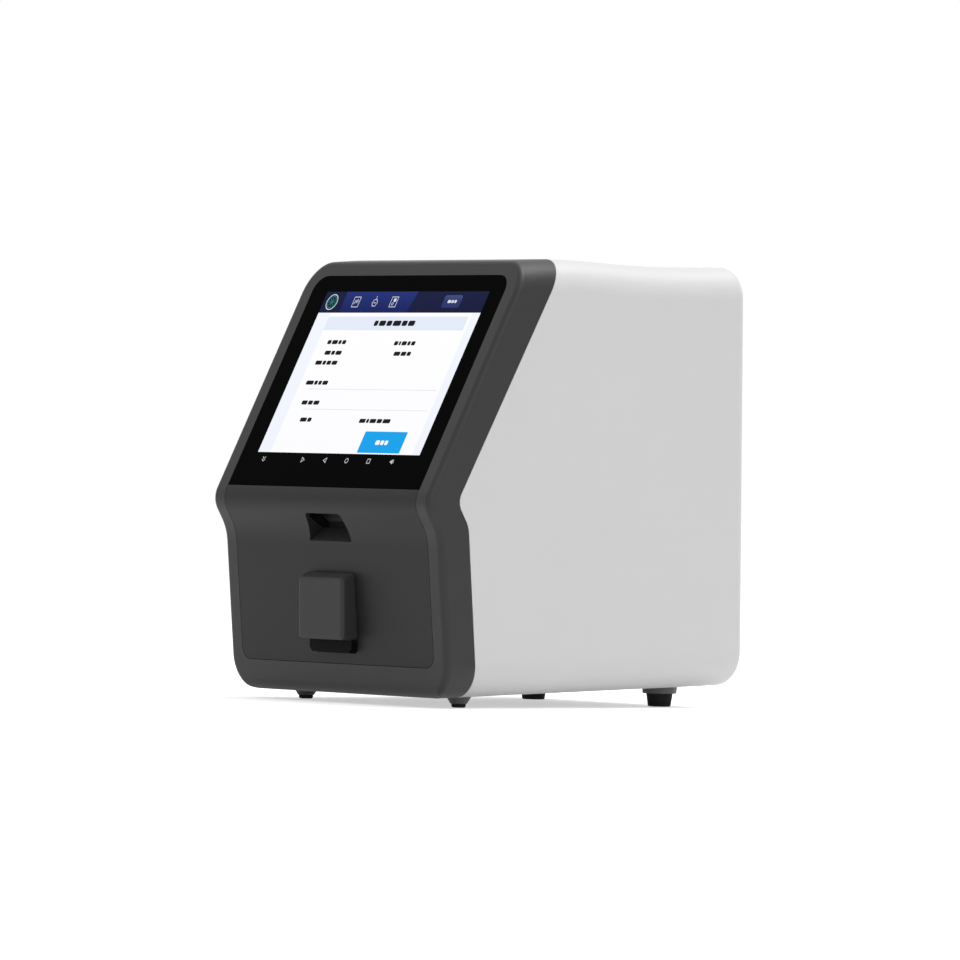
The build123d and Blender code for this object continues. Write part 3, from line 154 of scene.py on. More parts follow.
@dataclass
class Tree:
    """A shader tree with short calls for adding and linking nodes."""

    nodes: bpy.types.Nodes
    links: bpy.types.NodeLinks

    def add(self, kind: str, **settings: object) -> bpy.types.Node:
        """Adds a node and sets its properties.

        Args:
            kind: the node's type name without its ShaderNode prefix.
            settings: properties of the node.

        Returns:
            The node.
        """
        node = self.nodes.new("ShaderNode" + kind)
        for key, value in settings.items():
            setattr(node, key, value)
        return node

    def link(self, source: bpy.types.NodeSocket, target: bpy.types.NodeSocket) -> None:
        """Links two sockets."""
        self.links.new(source, target)

    def math(
        self, operation: str, first: object, second: object = None, clamp: bool = False
    ) -> bpy.types.NodeSocket:
        """Adds a Math node.

        Args:
            operation: Blender's name of the operation.
            first: a socket or a number.
            second: a socket or a number.
            clamp: keep the result between 0 and 1.

        Returns:
            The result's socket.
        """
        node = self.add("Math", operation=operation, use_clamp=clamp)
        for socket, value in zip(node.inputs, (first, second)):
            if isinstance(value, bpy.types.NodeSocket):
                self.link(value, socket)
            elif value is not None:
                socket.default_value = value
        return node.outputs[0]

    def mix(self, factor: object, low: object, high: object) -> bpy.types.NodeSocket:
        """Mixes two colours.

        Args:
            factor: a socket or a number from 0 to 1.
            low: the colour at 0, a socket or three numbers.
            high: the colour at 1, a socket or three numbers.

        Returns:
            The mixed colour's socket.
        """
        node = self.add("Mix", data_type="RGBA")
        for socket, value in ((node.inputs[0], factor), (node.inputs[6], low), (node.inputs[7], high)):
            if isinstance(value, bpy.types.NodeSocket):
                self.link(value, socket)
            elif isinstance(value, tuple):
                socket.default_value = (*value, 1.0)
            else:
                socket.default_value = value
        return node.outputs[2]


class Shared(Enum):
    """The node groups that several finishes use."""

    GRAIN = "moulded grain"
    WEAR = "edge wear and dust"
    BRUSHED = "brushed grain"


def new_group(
    shared: Shared, inputs: dict[str, float], outputs: list[str]
) -> tuple[Tree, bpy.types.Node, bpy.types.Node]:
    """Starts a shader node group.

    Args:
        shared: which group it is.
        inputs: name and default of each number that goes in.
        outputs: name of each number that comes out.

    Returns:
        The group's tree, its input node and its output node.
    """
    group = bpy.data.node_groups.new(shared.value, "ShaderNodeTree")
    for name, default in inputs.items():
        socket = group.interface.new_socket(name=name, in_out="INPUT", socket_type="NodeSocketFloat")
        socket.default_value = default
    for name in outputs:
        group.interface.new_socket(name=name, in_out="OUTPUT", socket_type="NodeSocketFloat")
    tree = Tree(group.nodes, group.links)
    return tree, group.nodes.new("NodeGroupInput"), group.nodes.new("NodeGroupOutput")


def build_grain_group() -> None:
    """Fine spark-eroded grain of a moulded surface: a height, and a tone that varies slowly."""
    tree, entry, leave = new_group(Shared.GRAIN, {"Scale": 2600.0, "Mottle": 14.0}, ["Height", "Tone"])
    place = tree.add("TexCoord")
    fine = tree.add("TexNoise")
    fine.inputs["Detail"].default_value = 3.0
    fine.inputs["Roughness"].default_value = 0.55
    tree.link(place.outputs["Object"], fine.inputs["Vector"])
    tree.link(entry.outputs["Scale"], fine.inputs["Scale"])
    cells = tree.add("TexVoronoi")
    tree.link(place.outputs["Object"], cells.inputs["Vector"])
    tree.link(tree.math("MULTIPLY", entry.outputs["Scale"], 0.7), cells.inputs["Scale"])
    fine_part = tree.math("MULTIPLY", fine.outputs["Fac"], 0.6)
    cell_part = tree.math("MULTIPLY", cells.outputs["Distance"], 0.4)
    height = tree.math("ADD", fine_part, cell_part)
    slow = tree.add("TexNoise")
    slow.inputs["Detail"].default_value = 2.0
    tree.link(place.outputs["Object"], slow.inputs["Vector"])
    tree.link(entry.outputs["Mottle"], slow.inputs["Scale"])
    tree.link(height, leave.inputs["Height"])
    tree.link(slow.outputs["Fac"], leave.inputs["Tone"])


def build_wear_group() -> None:
    """Dust that settles on upward faces and light scuffs: a mask for each."""
    tree, entry, leave = new_group(Shared.WEAR, {"Dust": 0.3, "Scuffs": 0.3}, ["Dust mask", "Scuff mask"])
    place = tree.add("TexCoord")
    shape = tree.add("NewGeometry")
    facing = tree.add("SeparateXYZ")
    tree.link(shape.outputs["Normal"], facing.inputs[0])
    patches = tree.add("TexNoise")
    patches.inputs["Scale"].default_value = 60.0
    patches.inputs["Detail"].default_value = 4.0
    tree.link(place.outputs["Object"], patches.inputs["Vector"])
    upward = tree.math("MULTIPLY", tree.math("MAXIMUM", facing.outputs["Z"], 0.0), patches.outputs["Fac"])
    tree.link(tree.math("MULTIPLY", upward, entry.outputs["Dust"], clamp=True), leave.inputs["Dust mask"])
    stretch = tree.add("Mapping")
    stretch.inputs["Scale"].default_value = (30.0, 30.0, 420.0)
    stretch.inputs["Rotation"].default_value = (0.4, 0.2, 0.0)
    tree.link(place.outputs["Object"], stretch.inputs["Vector"])
    lines = tree.add("TexNoise")
    lines.inputs["Scale"].default_value = 1.0
    lines.inputs["Detail"].default_value = 5.0
    tree.link(stretch.outputs["Vector"], lines.inputs["Vector"])
    strong = tree.math("MULTIPLY", tree.math("SUBTRACT", lines.outputs["Fac"], 0.62), 6.0, clamp=True)
    scuffs = tree.math("MULTIPLY", strong, entry.outputs["Scuffs"], clamp=True)
    tree.link(scuffs, leave.inputs["Scuff mask"])


def build_brushed_group() -> None:
    """Fine parallel lines of rolled or brushed metal."""
    tree, entry, leave = new_group(Shared.BRUSHED, {"Scale": 900.0}, ["Height", "Tone"])
    place = tree.add("TexCoord")
    stretch = tree.add("Mapping")
    stretch.inputs["Scale"].default_value = (0.03, 1.0, 1.0)
    tree.link(place.outputs["Object"], stretch.inputs["Vector"])
    lines = tree.add("TexNoise")
    lines.inputs["Detail"].default_value = 4.0
    tree.link(stretch.outputs["Vector"], lines.inputs["Vector"])
    tree.link(entry.outputs["Scale"], lines.inputs["Scale"])
    patches = tree.add("TexNoise")
    patches.inputs["Scale"].default_value = 45.0
    tree.link(place.outputs["Object"], patches.inputs["Vector"])
    tree.link(lines.outputs["Fac"], leave.inputs["Height"])
    tree.link(patches.outputs["Fac"], leave.inputs["Tone"])


def group_node(tree: Tree, shared: Shared, **values: float) -> bpy.types.Node:
    """Places a shared group in a material.

    Args:
        tree: the material's tree.
        shared: which group.
        values: numbers for its inputs, with underscores for spaces.

    Returns:
        The group's node.
    """
    node = tree.nodes.new("ShaderNodeGroup")
    node.node_tree = bpy.data.node_groups[shared.value]
    for name, value in values.items():
        node.inputs[name.replace("_", " ").capitalize()].default_value = value
    return node


def start_material(name: str) -> tuple[bpy.types.Material, Tree, bpy.types.Node]:
    """Makes a material with a Principled shader.

    Args:
        name: the material's name.

    Returns:
        The material, its tree and its Principled node.
    """
    material = bpy.data.materials.new(name)
    material.use_nodes = True
    tree = Tree(material.node_tree.nodes, material.node_tree.links)
    return material, tree, tree.nodes["Principled BSDF"]


def add_bump(
    tree: Tree, shader: bpy.types.Node, height: bpy.types.NodeSocket, strength: float, distance: float
) -> None:
    """Feeds a height to the shader's normal.

    Args:
        tree: the material's tree.
        shader: its Principled node.
        height: the height's socket.
        strength: 0 to 1.
        distance: depth of the relief in metres.
    """
    bump = tree.add("Bump")
    bump.inputs["Strength"].default_value = strength
    bump.inputs["Distance"].default_value = distance
    tree.link(height, bump.inputs["Height"])
    tree.link(bump.outputs["Normal"], shader.inputs["Normal"])


def seen_directly(tree: Tree) -> bpy.types.NodeSocket:
    """A mask that is 1 for what the camera sees itself, in a reflection or through glass.

    Args:
        tree: the tree of the floor's material or of the world.

    Returns:
        The mask's socket.
    """
    ray = tree.add("LightPath")
    seen = tree.math("MAXIMUM", ray.outputs["Is Camera Ray"], ray.outputs["Is Glossy Ray"])
    return tree.math("MAXIMUM", seen, ray.outputs["Is Transmission Ray"])


# Finishes


@dataclass(frozen=True)
class MouldedPlastic:
    """Injection-moulded plastic with a fine eroded texture, a little dust and faint scuffs."""

    name: str
    colour: Colour
    roughness: float = 0.5
    grain: float = 0.25
    grain_scale: float = 2600.0
    mottle: float = 0.04
    dust: float = 0.12
    scuffs: float = 0.15
    specular: float = 0.2
    relief: float = 0.00004

    def build(self) -> bpy.types.Material:
        """Builds the material."""
        material, tree, shader = start_material(self.name)
        grain = group_node(tree, Shared.GRAIN, scale=self.grain_scale)
        wear = group_node(tree, Shared.WEAR, dust=self.dust, scuffs=self.scuffs)
        darker = tuple(c * (1 - self.mottle) for c in self.colour)
        lighter = tuple(min(1.0, c * (1 + self.mottle)) for c in self.colour)
        base = tree.mix(grain.outputs["Tone"], darker, lighter)
        base = tree.mix(wear.outputs["Dust mask"], base, DUST_COLOUR)
        tree.link(base, shader.inputs["Base Color"])
        grainy = tree.math("MULTIPLY", grain.outputs["Height"], 0.08)
        scuffed = tree.math("MULTIPLY", wear.outputs["Scuff mask"], 0.1)
        rough = tree.math("ADD", self.roughness - 0.04, grainy)
        rough = tree.math("ADD", rough, scuffed, clamp=True)
        tree.link(rough, shader.inputs["Roughness"])
        shader.inputs["Specular IOR Level"].default_value = self.specular
        add_bump(tree, shader, grain.outputs["Height"], self.grain, self.relief)
        return material


@dataclass(frozen=True)
class SheetMetal:
    """Rolled, plated or ground metal with fine directional lines."""

    name: str
    colour: Colour
    roughness: float = 0.35
    metallic: float = 1.0
    lines: float = 0.2
    line_scale: float = 900.0
    relief: float = 0.00002

    def build(self) -> bpy.types.Material:
        """Builds the material."""
        material, tree, shader = start_material(self.name)
        lines = group_node(tree, Shared.BRUSHED, scale=self.line_scale)
        wear = group_node(tree, Shared.WEAR, dust=0.1, scuffs=0.35)
        darker = tuple(c * 0.85 for c in self.colour)
        base = tree.mix(lines.outputs["Tone"], darker, self.colour)
        tree.link(base, shader.inputs["Base Color"])
        shader.inputs["Metallic"].default_value = self.metallic
        lined = tree.math("MULTIPLY", lines.outputs["Height"], 0.14)
        scuffed = tree.math("MULTIPLY", wear.outputs["Scuff mask"], 0.12)
        rough = tree.math("ADD", self.roughness - 0.06, lined)
        rough = tree.math("ADD", rough, scuffed, clamp=True)
        tree.link(rough, shader.inputs["Roughness"])
        add_bump(tree, shader, lines.outputs["Height"], self.lines, self.relief)
        return material


@dataclass(frozen=True)
class Rubber:
    """Matt rubber with a soft bloom."""

    name: str
    colour: Colour
    bloom: Colour = (0.09, 0.09, 0.09)
    relief: float = 0.00008

    def build(self) -> bpy.types.Material:
        """Builds the material."""
        material, tree, shader = start_material(self.name)
        grain = group_node(tree, Shared.GRAIN, scale=1400.0)
        wear = group_node(tree, Shared.WEAR, dust=0.3, scuffs=0.4)
        base = tree.mix(grain.outputs["Tone"], self.colour, tuple(c * 1.6 for c in self.colour))
        base = tree.mix(wear.outputs["Scuff mask"], base, self.bloom)
        tree.link(base, shader.inputs["Base Color"])
        rough = tree.math("ADD", 0.7, tree.math("MULTIPLY", grain.outputs["Height"], 0.2))
        tree.link(rough, shader.inputs["Roughness"])
        shader.inputs["Specular IOR Level"].default_value = 0.2
        add_bump(tree, shader, grain.outputs["Height"], 0.4, self.relief)
        return material


@dataclass(frozen=True)
class CircuitBoard:
    """Green solder mask over copper tracks, with bright pads."""

    name: str
    mask: Colour = (0.012, 0.10, 0.045)
    track: Colour = (0.02, 0.17, 0.075)
    pad: Colour = (0.75, 0.72, 0.62)
    relief: float = 0.00003

    def build(self) -> bpy.types.Material:
        """Builds the material."""
        material, tree, shader = start_material(self.name)
        place = tree.add("TexCoord")
        tracks = tree.add("TexBrick", offset=0.37, squash=1.6, squash_frequency=3)
        tracks.inputs["Scale"].default_value = 260.0
        tracks.inputs["Mortar Size"].default_value = 0.03
        tree.link(place.outputs["Object"], tracks.inputs["Vector"])
        pads = tree.add("TexVoronoi")
        pads.inputs["Scale"].default_value = 300.0
        pads.inputs["Randomness"].default_value = 0.35
        tree.link(place.outputs["Object"], pads.inputs["Vector"])
        pad_mask = tree.math("LESS_THAN", pads.outputs["Distance"], 0.16)
        base = tree.mix(tracks.outputs["Fac"], self.mask, self.track)
        tree.link(tree.mix(pad_mask, base, self.pad), shader.inputs["Base Color"])
        tree.link(pad_mask, shader.inputs["Metallic"])
        rough = tree.math("SUBTRACT", 0.38, tree.math("MULTIPLY", pad_mask, 0.1))
        tree.link(rough, shader.inputs["Roughness"])
        add_bump(tree, shader, tracks.outputs["Fac"], 0.3, self.relief)
        return material


@dataclass(frozen=True)
class ClearOptic:
    """A lens, filter or mirror: tinted glass with a faint coating."""

    name: str
    tint: Colour
    alpha: float = 0.35
    haze: Colour = (0.8, 0.8, 0.8)

    def build(self) -> bpy.types.Material:
        """Builds the material."""
        material, tree, shader = start_material(self.name)
        wear = group_node(tree, Shared.WEAR, dust=0.2, scuffs=0.2)
        tree.link(tree.mix(wear.outputs["Dust mask"], self.tint, self.haze), shader.inputs["Base Color"])
        rough = tree.math("ADD", 0.04, tree.math("MULTIPLY", wear.outputs["Dust mask"], 0.2))
        tree.link(rough, shader.inputs["Roughness"])
        shader.inputs["Coat Weight"].default_value = 0.6
        shader.inputs["Alpha"].default_value = self.alpha
        return material


@dataclass(frozen=True)
class ScreenGlass:
    """Black cover glass, glossy, with the faintest finger marks."""

    name: str
    colour: Colour = SCREEN_BLACK
    roughness: float = 0.12

    def build(self) -> bpy.types.Material:
        """Builds the material."""
        material, tree, shader = start_material(self.name)
        place = tree.add("TexCoord")
        smears = tree.add("TexNoise")
        smears.inputs["Scale"].default_value = 32.0
        smears.inputs["Detail"].default_value = 5.0
        tree.link(place.outputs["Object"], smears.inputs["Vector"])
        marks = tree.math("MULTIPLY", tree.math("SUBTRACT", smears.outputs["Fac"], 0.5), 0.3, clamp=True)
        tree.link(tree.math("ADD", self.roughness, marks), shader.inputs["Roughness"])
        smeared = tuple(c * 3 for c in self.colour)
        tree.link(tree.mix(marks, self.colour, smeared), shader.inputs["Base Color"])
        shader.inputs["Specular IOR Level"].default_value = SCREEN_SPECULAR
        return material


@dataclass(frozen=True)
class LitPicture:
    """A lit part of the screen's picture, drawn by its own light.

    With a shade, its tint shifts a little from the top of the panel to the foot, as a backlight's does.
    """

    name: str
    colour: Colour
    shade: Colour | None = None
    strength: float = 1.0
    shade_from: float = 0.135
    shade_to: float = 0.255

    def build(self) -> bpy.types.Material:
        """Builds the material."""
        material, tree, shader = start_material(self.name)
        place = tree.add("TexCoord")
        parts = tree.add("SeparateXYZ")
        tree.link(place.outputs["Object"], parts.inputs[0])
        rise = tree.add("MapRange")
        rise.inputs["From Min"].default_value = self.shade_from
        rise.inputs["From Max"].default_value = self.shade_to
        tree.link(parts.outputs["Z"], rise.inputs["Value"])
        glow = tree.mix(rise.outputs["Result"], self.shade or self.colour, self.colour)
        shader.inputs["Base Color"].default_value = (0.001, 0.001, 0.001, 1)
        tree.link(glow, shader.inputs["Emission Color"])
        shader.inputs["Emission Strength"].default_value = self.strength
        shader.inputs["Roughness"].default_value = 0.14
        shader.inputs["Specular IOR Level"].default_value = SCREEN_SPECULAR
        return material


class Finishes:
    """Every finish of the analyzer, by name."""

    def __init__(self) -> None:
        """Builds the shared groups, then each finish."""
        build_grain_group()
        build_wear_group()
        build_brushed_group()
        kinds = [
            MouldedPlastic("graphite case", (0.018, 0.018, 0.0186), 0.46, dust=0.03, specular=0.3),
            # The front cover's graphite is darker than the case's graphite. Part of that darkening is
            # painted shade, standing in for the shade the overhanging brow casts on the front panel.
            MouldedPlastic("graphite cover with painted shade", (0.0152, 0.0152, 0.0156), dust=0.03),
            MouldedPlastic("graphite block", (0.031, 0.031, 0.032), 0.46, dust=0.03),
            MouldedPlastic("black tray", (0.003, 0.003, 0.003), 0.6, 0.15, dust=0.0, specular=0.05),
            MouldedPlastic("scanner grey", (0.008, 0.008, 0.0082), 0.4, dust=0.01, specular=0.06),
            MouldedPlastic(
                "white case",
                (0.528, 0.523, 0.524),
                roughness=0.45,
                grain=0.18,
                mottle=0.015,
                dust=0.02,
                scuffs=0.08,
                specular=0.4,
            ),
            MouldedPlastic("grey plastic", (0.15, 0.15, 0.152)),
            MouldedPlastic("black plastic", (0.012, 0.012, 0.013), 0.45),
            MouldedPlastic("gear plastic", (0.68, 0.66, 0.60), 0.35, 0.05),
            MouldedPlastic("motor paint", (0.015, 0.015, 0.016), 0.3, 0.1),
            Rubber("black rubber", (0.012, 0.012, 0.012)),
            Rubber("roller rubber", (0.02, 0.02, 0.021)),
            SheetMetal("zinc sheet", (0.56, 0.56, 0.55)),
            SheetMetal("bright steel", (0.62, 0.62, 0.63), roughness=0.22, lines=0.1),
            SheetMetal("screw steel", (0.42, 0.42, 0.43), roughness=0.3, lines=0.1),
            SheetMetal("bare aluminium", (0.74, 0.74, 0.75), roughness=0.32),
            SheetMetal("black aluminium", (0.02, 0.02, 0.021), roughness=0.4, metallic=0.6),
            SheetMetal("port metal", (0.55, 0.55, 0.56), roughness=0.25, lines=0.1),
            CircuitBoard("circuit board"),
            ClearOptic("clear optic", (0.72, 0.80, 0.83)),
            ClearOptic("coated optic", (0.35, 0.10, 0.45), alpha=0.6),
            ScreenGlass("screen glass"),
            LitPicture("lit white", (1.0, 1.0, 1.0), (0.97, 0.97, 1.0)),
            LitPicture("lit margin", (0.90, 0.93, 1.0), (0.88, 0.90, 0.98)),
            LitPicture("lit title band", (0.78, 0.83, 0.95)),
            LitPicture("lit navy", (0.013, 0.016, 0.055), (0.010, 0.012, 0.05), shade_from=0.234),
            LitPicture("lit blue band", (0.022, 0.038, 0.21), (0.012, 0.02, 0.12), 1.0, 0.236, 0.25),
            LitPicture("lit pill", (0.10, 0.13, 0.33), (0.03, 0.04, 0.15), 1.0, 0.241, 0.249),
            LitPicture("lit button", (0.008, 0.40, 0.85), (0.012, 0.36, 0.82)),
            LitPicture("lit ink", (0.012, 0.012, 0.016)),
            LitPicture("lit rule", (0.80, 0.80, 0.82)),
            LitPicture("lit icon", (0.75, 0.77, 0.85)),
            LitPicture("lit teal", (0.02, 0.22, 0.17)),
            LitPicture("lit key", (0.55, 0.55, 0.57)),
        ]
        self.materials = {kind.name: kind.build() for kind in kinds}

    def wear(self, obj: bpy.types.Object, name: str) -> None:
        """Gives an object one finish in every slot.

        Args:
            obj: a CAD node or a new piece.
            name: the finish.
        """
        material = self.materials[name]
        if not obj.data.materials:
            obj.data.materials.append(material)
        for index in range(len(obj.data.materials)):
            obj.data.materials[index] = material


NODE_FINISHES = {
    "graphite case": ["front_shell"],
    # The front cover's darker graphite is partly painted shade from the brow.
    "graphite cover with painted shade": ["front_cover"],
    "graphite block": ["tray_block"],
    "black tray": ["card_tray", "scanner_body"],
    "white case": ["rear_housing", "printer_lid"],
    "screen glass": ["cover_glass"],
    "scanner grey": ["scanner_window"],
    "grey plastic": ["front_feet", "rear_feet"],
    "black plastic": [
        "guide_left",
        "guide_right",
        "home_sensor",
        "printer_bucket",
        "power_inlet",
        "switch_frame",
        "power_rocker",
        "fan_frame",
        "fan_rotor",
        "fan_guard",
    ],
    "gear plastic": ["drive_pinion"],
    "motor paint": ["tray_motor"],
    "black rubber": ["front_soles", "rear_soles"],
    "roller rubber": ["platen_roller"],
    "zinc sheet": [
        "display_panel",
        "display_bracket",
        "base_plate",
        "motor_bracket",
        "optics_bridge",
        "io_plate",
    ],
    "bright steel": [
        "board_standoffs",
        "linear_rail",
        "rail_carriage",
        "motor_shaft",
        "detector",
        "hinge_pin",
        "power_standoffs",
    ],
    "screw steel": [
        "display_screws",
        "base_screws",
        "case_screws",
        "carriage_screws",
        "motor_screws",
        "io_screws",
    ],
    "bare aluminium": ["optics_heat_sink", "print_head"],
    "black aluminium": ["board_heat_sink", "optics_block"],
    "port metal": ["network_port", "data_ports"],
    "circuit board": ["main_board", "detector_board", "power_board"],
    "clear optic": ["objective_lens", "light_source"],
    "coated optic": ["dichroic_mirror", "excitation_filter", "emission_filter"],
}


# The lit picture on the screen, drawn in the screen's own plane: x to the right, y up the slope


@dataclass
class ScreenPicture:
    """The lit picture, built of thin flat pieces just on the glass. Sizes are millimetres."""

    finishes: Finishes
    glass_foot_height: float = 128.9
    lean: float = 27.0
    left: float = -78.8
    right: float = 81.0
    page_left: float = -66.5
    page_right: float = 71.0
    head: float = 132.5
    bar_top: float = 22.4
    header_foot: float = 118.0
    icon_row: float = 125.4
    key_row: float = 17.7
    icon_line: float = 0.42
    key_line: float = 0.5
    lift: float = 0.06
    step: float = 0.02
    pieces: list[bpy.types.Object] = field(default_factory=list)

    def plane(self, level: int) -> Matrix:
        """The screen plane's placement, raised by a number of small steps.

        Args:
            level: 0 for the lowest layer.

        Returns:
            The placement in the row frame, in metres.
        """
        glass_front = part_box("cover_glass")[0][1]
        lean = math.radians(self.lean)
        up = Vector((0, math.sin(lean), math.cos(lean)))
        out = Vector((0, -math.cos(lean), math.sin(lean)))
        foot = Vector((0, glass_front, self.glass_foot_height * MM))
        origin = foot + out * ((self.lift + self.step * level) * MM)
        side = Vector((1, 0, 0))
        matrix = Matrix((side, up, out)).transposed().to_4x4()
        matrix.translation = origin
        return matrix

    def finish_shape(self, obj: bpy.types.Object, finish: str, level: int) -> None:
        """Scales a flat shape from millimetres, places it on the screen and dresses it.

        Args:
            obj: the shape, drawn in millimetres on the ground plane.
            finish: the finish's name.
            level: the layer it lies on.
        """
        only(obj)
        bpy.ops.object.transform_apply(location=True, rotation=True, scale=True)
        obj.matrix_world = Matrix.Scale(MM, 4)
        settle(obj, self.plane(level))
        self.finishes.wear(obj, finish)
        self.pieces.append(obj)

    def rectangle(
        self,
        x0: float,
        x1: float,
        y0: float,
        y1: float,
        finish: str,
        level: int,
        radius: float = 0.0,
        slant: float = 0.0,
    ) -> None:
        """Draws a filled rectangle.

        Args:
            x0: left edge.
            x1: right edge.
            y0: lower edge.
            y1: upper edge.
            finish: the finish's name.
            level: the layer it lies on.
            radius: rounding of its corners.
            slant: how far its upper right corner is moved to the right.
        """
        middle = ((x0 + x1) / 2, (y0 + y1) / 2, 0)
        bpy.ops.mesh.primitive_plane_add(size=1, location=middle)
        obj = bpy.context.object
        obj.scale = (x1 - x0, y1 - y0, 1)
        only(obj)
        bpy.ops.object.transform_apply(location=True, rotation=True, scale=True)
        if slant:
            for vertex in obj.data.vertices:
                if vertex.co.x > middle[0] and vertex.co.y > middle[1]:
                    vertex.co.x += slant
        if radius:
            round_corners(radius, 5)
        self.finish_shape(obj, finish, level)

    def disc(
        self,
        x: float,
        y: float,
        radius: float,
        finish: str,
        level: int,
        sides: int = 40,
        turn: float = 0.0,
    ) -> None:
        """Draws a filled disc or regular polygon.

        Args:
            x: middle.
            y: middle.
            radius: outer radius.
            finish: the finish's name.
            level: the layer it lies on.
            sides: number of sides.
            turn: degrees by which it is turned.
        """
        self.finish_shape(add_polygon(x, y, radius, sides, turn), finish, level)

    def ring(
        self,
        x: float,
        y: float,
        radius: float,
        width: float,
        finish: str,
        level: int,
        sides: int = 40,
        turn: float = 0.0,
    ) -> None:
        """Draws a ring, or an outlined regular polygon.

        Args:
            x: middle.
            y: middle.
            radius: outer radius.
            width: width of the line.
            finish: the finish's name.
            level: the layer it lies on.
            sides: number of sides.
            turn: degrees by which it is turned.
        """
        obj = add_polygon(x, y, radius, sides, turn)
        only(obj)
        bpy.ops.object.transform_apply(location=True, rotation=True, scale=True)
        bpy.ops.object.mode_set(mode="EDIT")
        bpy.ops.mesh.select_all(action="SELECT")
        bpy.ops.mesh.inset(thickness=width)
        bpy.ops.mesh.delete(type="FACE")
        bpy.ops.object.mode_set(mode="OBJECT")
        self.finish_shape(obj, finish, level)

    def stroke(
        self, x0: float, y0: float, x1: float, y1: float, width: float, finish: str, level: int
    ) -> None:
        """Draws a straight line with round ends.

        Args:
            x0: first end.
            y0: first end.
            x1: second end.
            y1: second end.
            width: width of the line.
            finish: the finish's name.
            level: the layer it lies on.
        """
        length = math.hypot(x1 - x0, y1 - y0)
        turn = math.atan2(y1 - y0, x1 - x0)
        middle = ((x0 + x1) / 2, (y0 + y1) / 2, 0)
        bpy.ops.mesh.primitive_plane_add(size=1, location=middle, rotation=(0, 0, turn))
        obj = bpy.context.object
        obj.scale = (length + width, width, 1)
        only(obj)
        bpy.ops.object.transform_apply(location=True, rotation=True, scale=True)
        round_corners(width * 0.45, 3)
        self.finish_shape(obj, finish, level)

    def outline(
        self,
        points: list[tuple[float, float]],
        width: float,
        finish: str,
        level: int,
        closed: bool = True,
    ) -> None:
        """Draws a line through points.

        Args:
            points: the line's corners.
            width: width of the line.
            finish: the finish's name.
            level: the layer it lies on.
            closed: whether the last point is joined to the first.
        """
        ends = points[1:] + points[:1] if closed else points[1:]
        for start, end in zip(points, ends):
            self.stroke(*start, *end, width, finish, level)

    def box_outline(
        self, x: float, y: float, half_width: float, half_height: float, width: float, finish: str
    ) -> None:
        """Draws the outline of an upright rectangle.

        Args:
            x: middle.
            y: middle.
            half_width: half its width.
            half_height: half its height.
            width: width of the line.
            finish: the finish's name.
        """
        left, right, low, high = x - half_width, x + half_width, y - half_height, y + half_height
        self.outline([(left, low), (right, low), (right, high), (left, high)], width, finish, 2)

    def label(
        self, x0: float, x1: float, y: float, shares: list[int], height: float, finish: str
    ) -> None:
        """Draws a line of small bars where a label stands.

        Args:
            x0: left end.
            x1: right end.
            y: middle.
            shares: width of each bar as a share of the others.
            height: height of the bars.
            finish: the finish's name.
        """
        gap = height * 0.32
        low, high = y - height / 2, y + height / 2
        unit = (x1 - x0 - gap * (len(shares) - 1)) / sum(shares)
        for share in shares:
            self.rectangle(x0, x0 + share * unit, low, high, finish, 3, radius=height * 0.3)
            x0 += share * unit + gap

    def draw_background(self) -> None:
        """Draws the white page, its margins, the title band and the dark header."""
        left, right = self.left, self.right
        self.rectangle(left, right, self.bar_top, self.header_foot, "lit white", 0)
        self.rectangle(left, self.page_left, self.bar_top, self.header_foot, "lit margin", 1)
        self.rectangle(self.page_right + 2.5, right, self.bar_top, self.header_foot, "lit margin", 1)
        self.rectangle(self.page_left, self.page_right, 106.0, 115.4, "lit title band", 1)
        self.rectangle(left, right, self.header_foot, self.head, "lit navy", 0)
        self.rectangle(-58.5, 8.5, self.header_foot, self.head, "lit blue band", 1, slant=3.5)

    def draw_header(self) -> None:
        """Draws the header's round emblem, its three icons and its button."""
        y = self.icon_row
        icon, teal, line = "lit icon", "lit teal", self.icon_line
        emblem_x, spoke = -70.0, 3.0
        self.ring(emblem_x, y, 5.4, 0.55, icon, 2)
        self.ring(emblem_x, y, 4.2, 0.5, teal, 2)
        for turn in range(0, 180, 45):
            dx, dy = spoke * math.cos(math.radians(turn)), spoke * math.sin(math.radians(turn))
            self.stroke(emblem_x - dx, y - dy, emblem_x + dx, y + dy, 0.45, teal, 3)
        for sheet_x in (-45.6, -8.2):
            self.box_outline(sheet_x, y, 3.0, 3.4, line, icon)
        curve = [(-47.4, y - 1.2), (-46.3, y + 1.2), (-45.4, y - 0.7), (-44.5, y + 1.9), (-43.8, y - 0.5)]
        self.outline(curve, 0.4, icon, 3, closed=False)
        self.disc(-7.7, y + 1.2, 1.3, icon, 3)
        self.ring(-8.8, y - 1.4, 1.0, 0.35, icon, 3)
        flask_x = -26.8
        self.ring(flask_x, y - 0.6, 2.8, line, icon, 2, sides=6, turn=30)
        self.stroke(flask_x, y + 2.4, flask_x, y + 3.8, line, icon, 2)
        self.stroke(flask_x - 1.2, y - 0.6, flask_x + 1.2, y - 0.6, 0.4, icon, 3)
        self.rectangle(40.0, 57.5, 121.4, 129.9, "lit pill", 2, radius=2.0)
        self.label(44.6, 53.2, 125.6, [3, 2, 2], 2.0, icon)

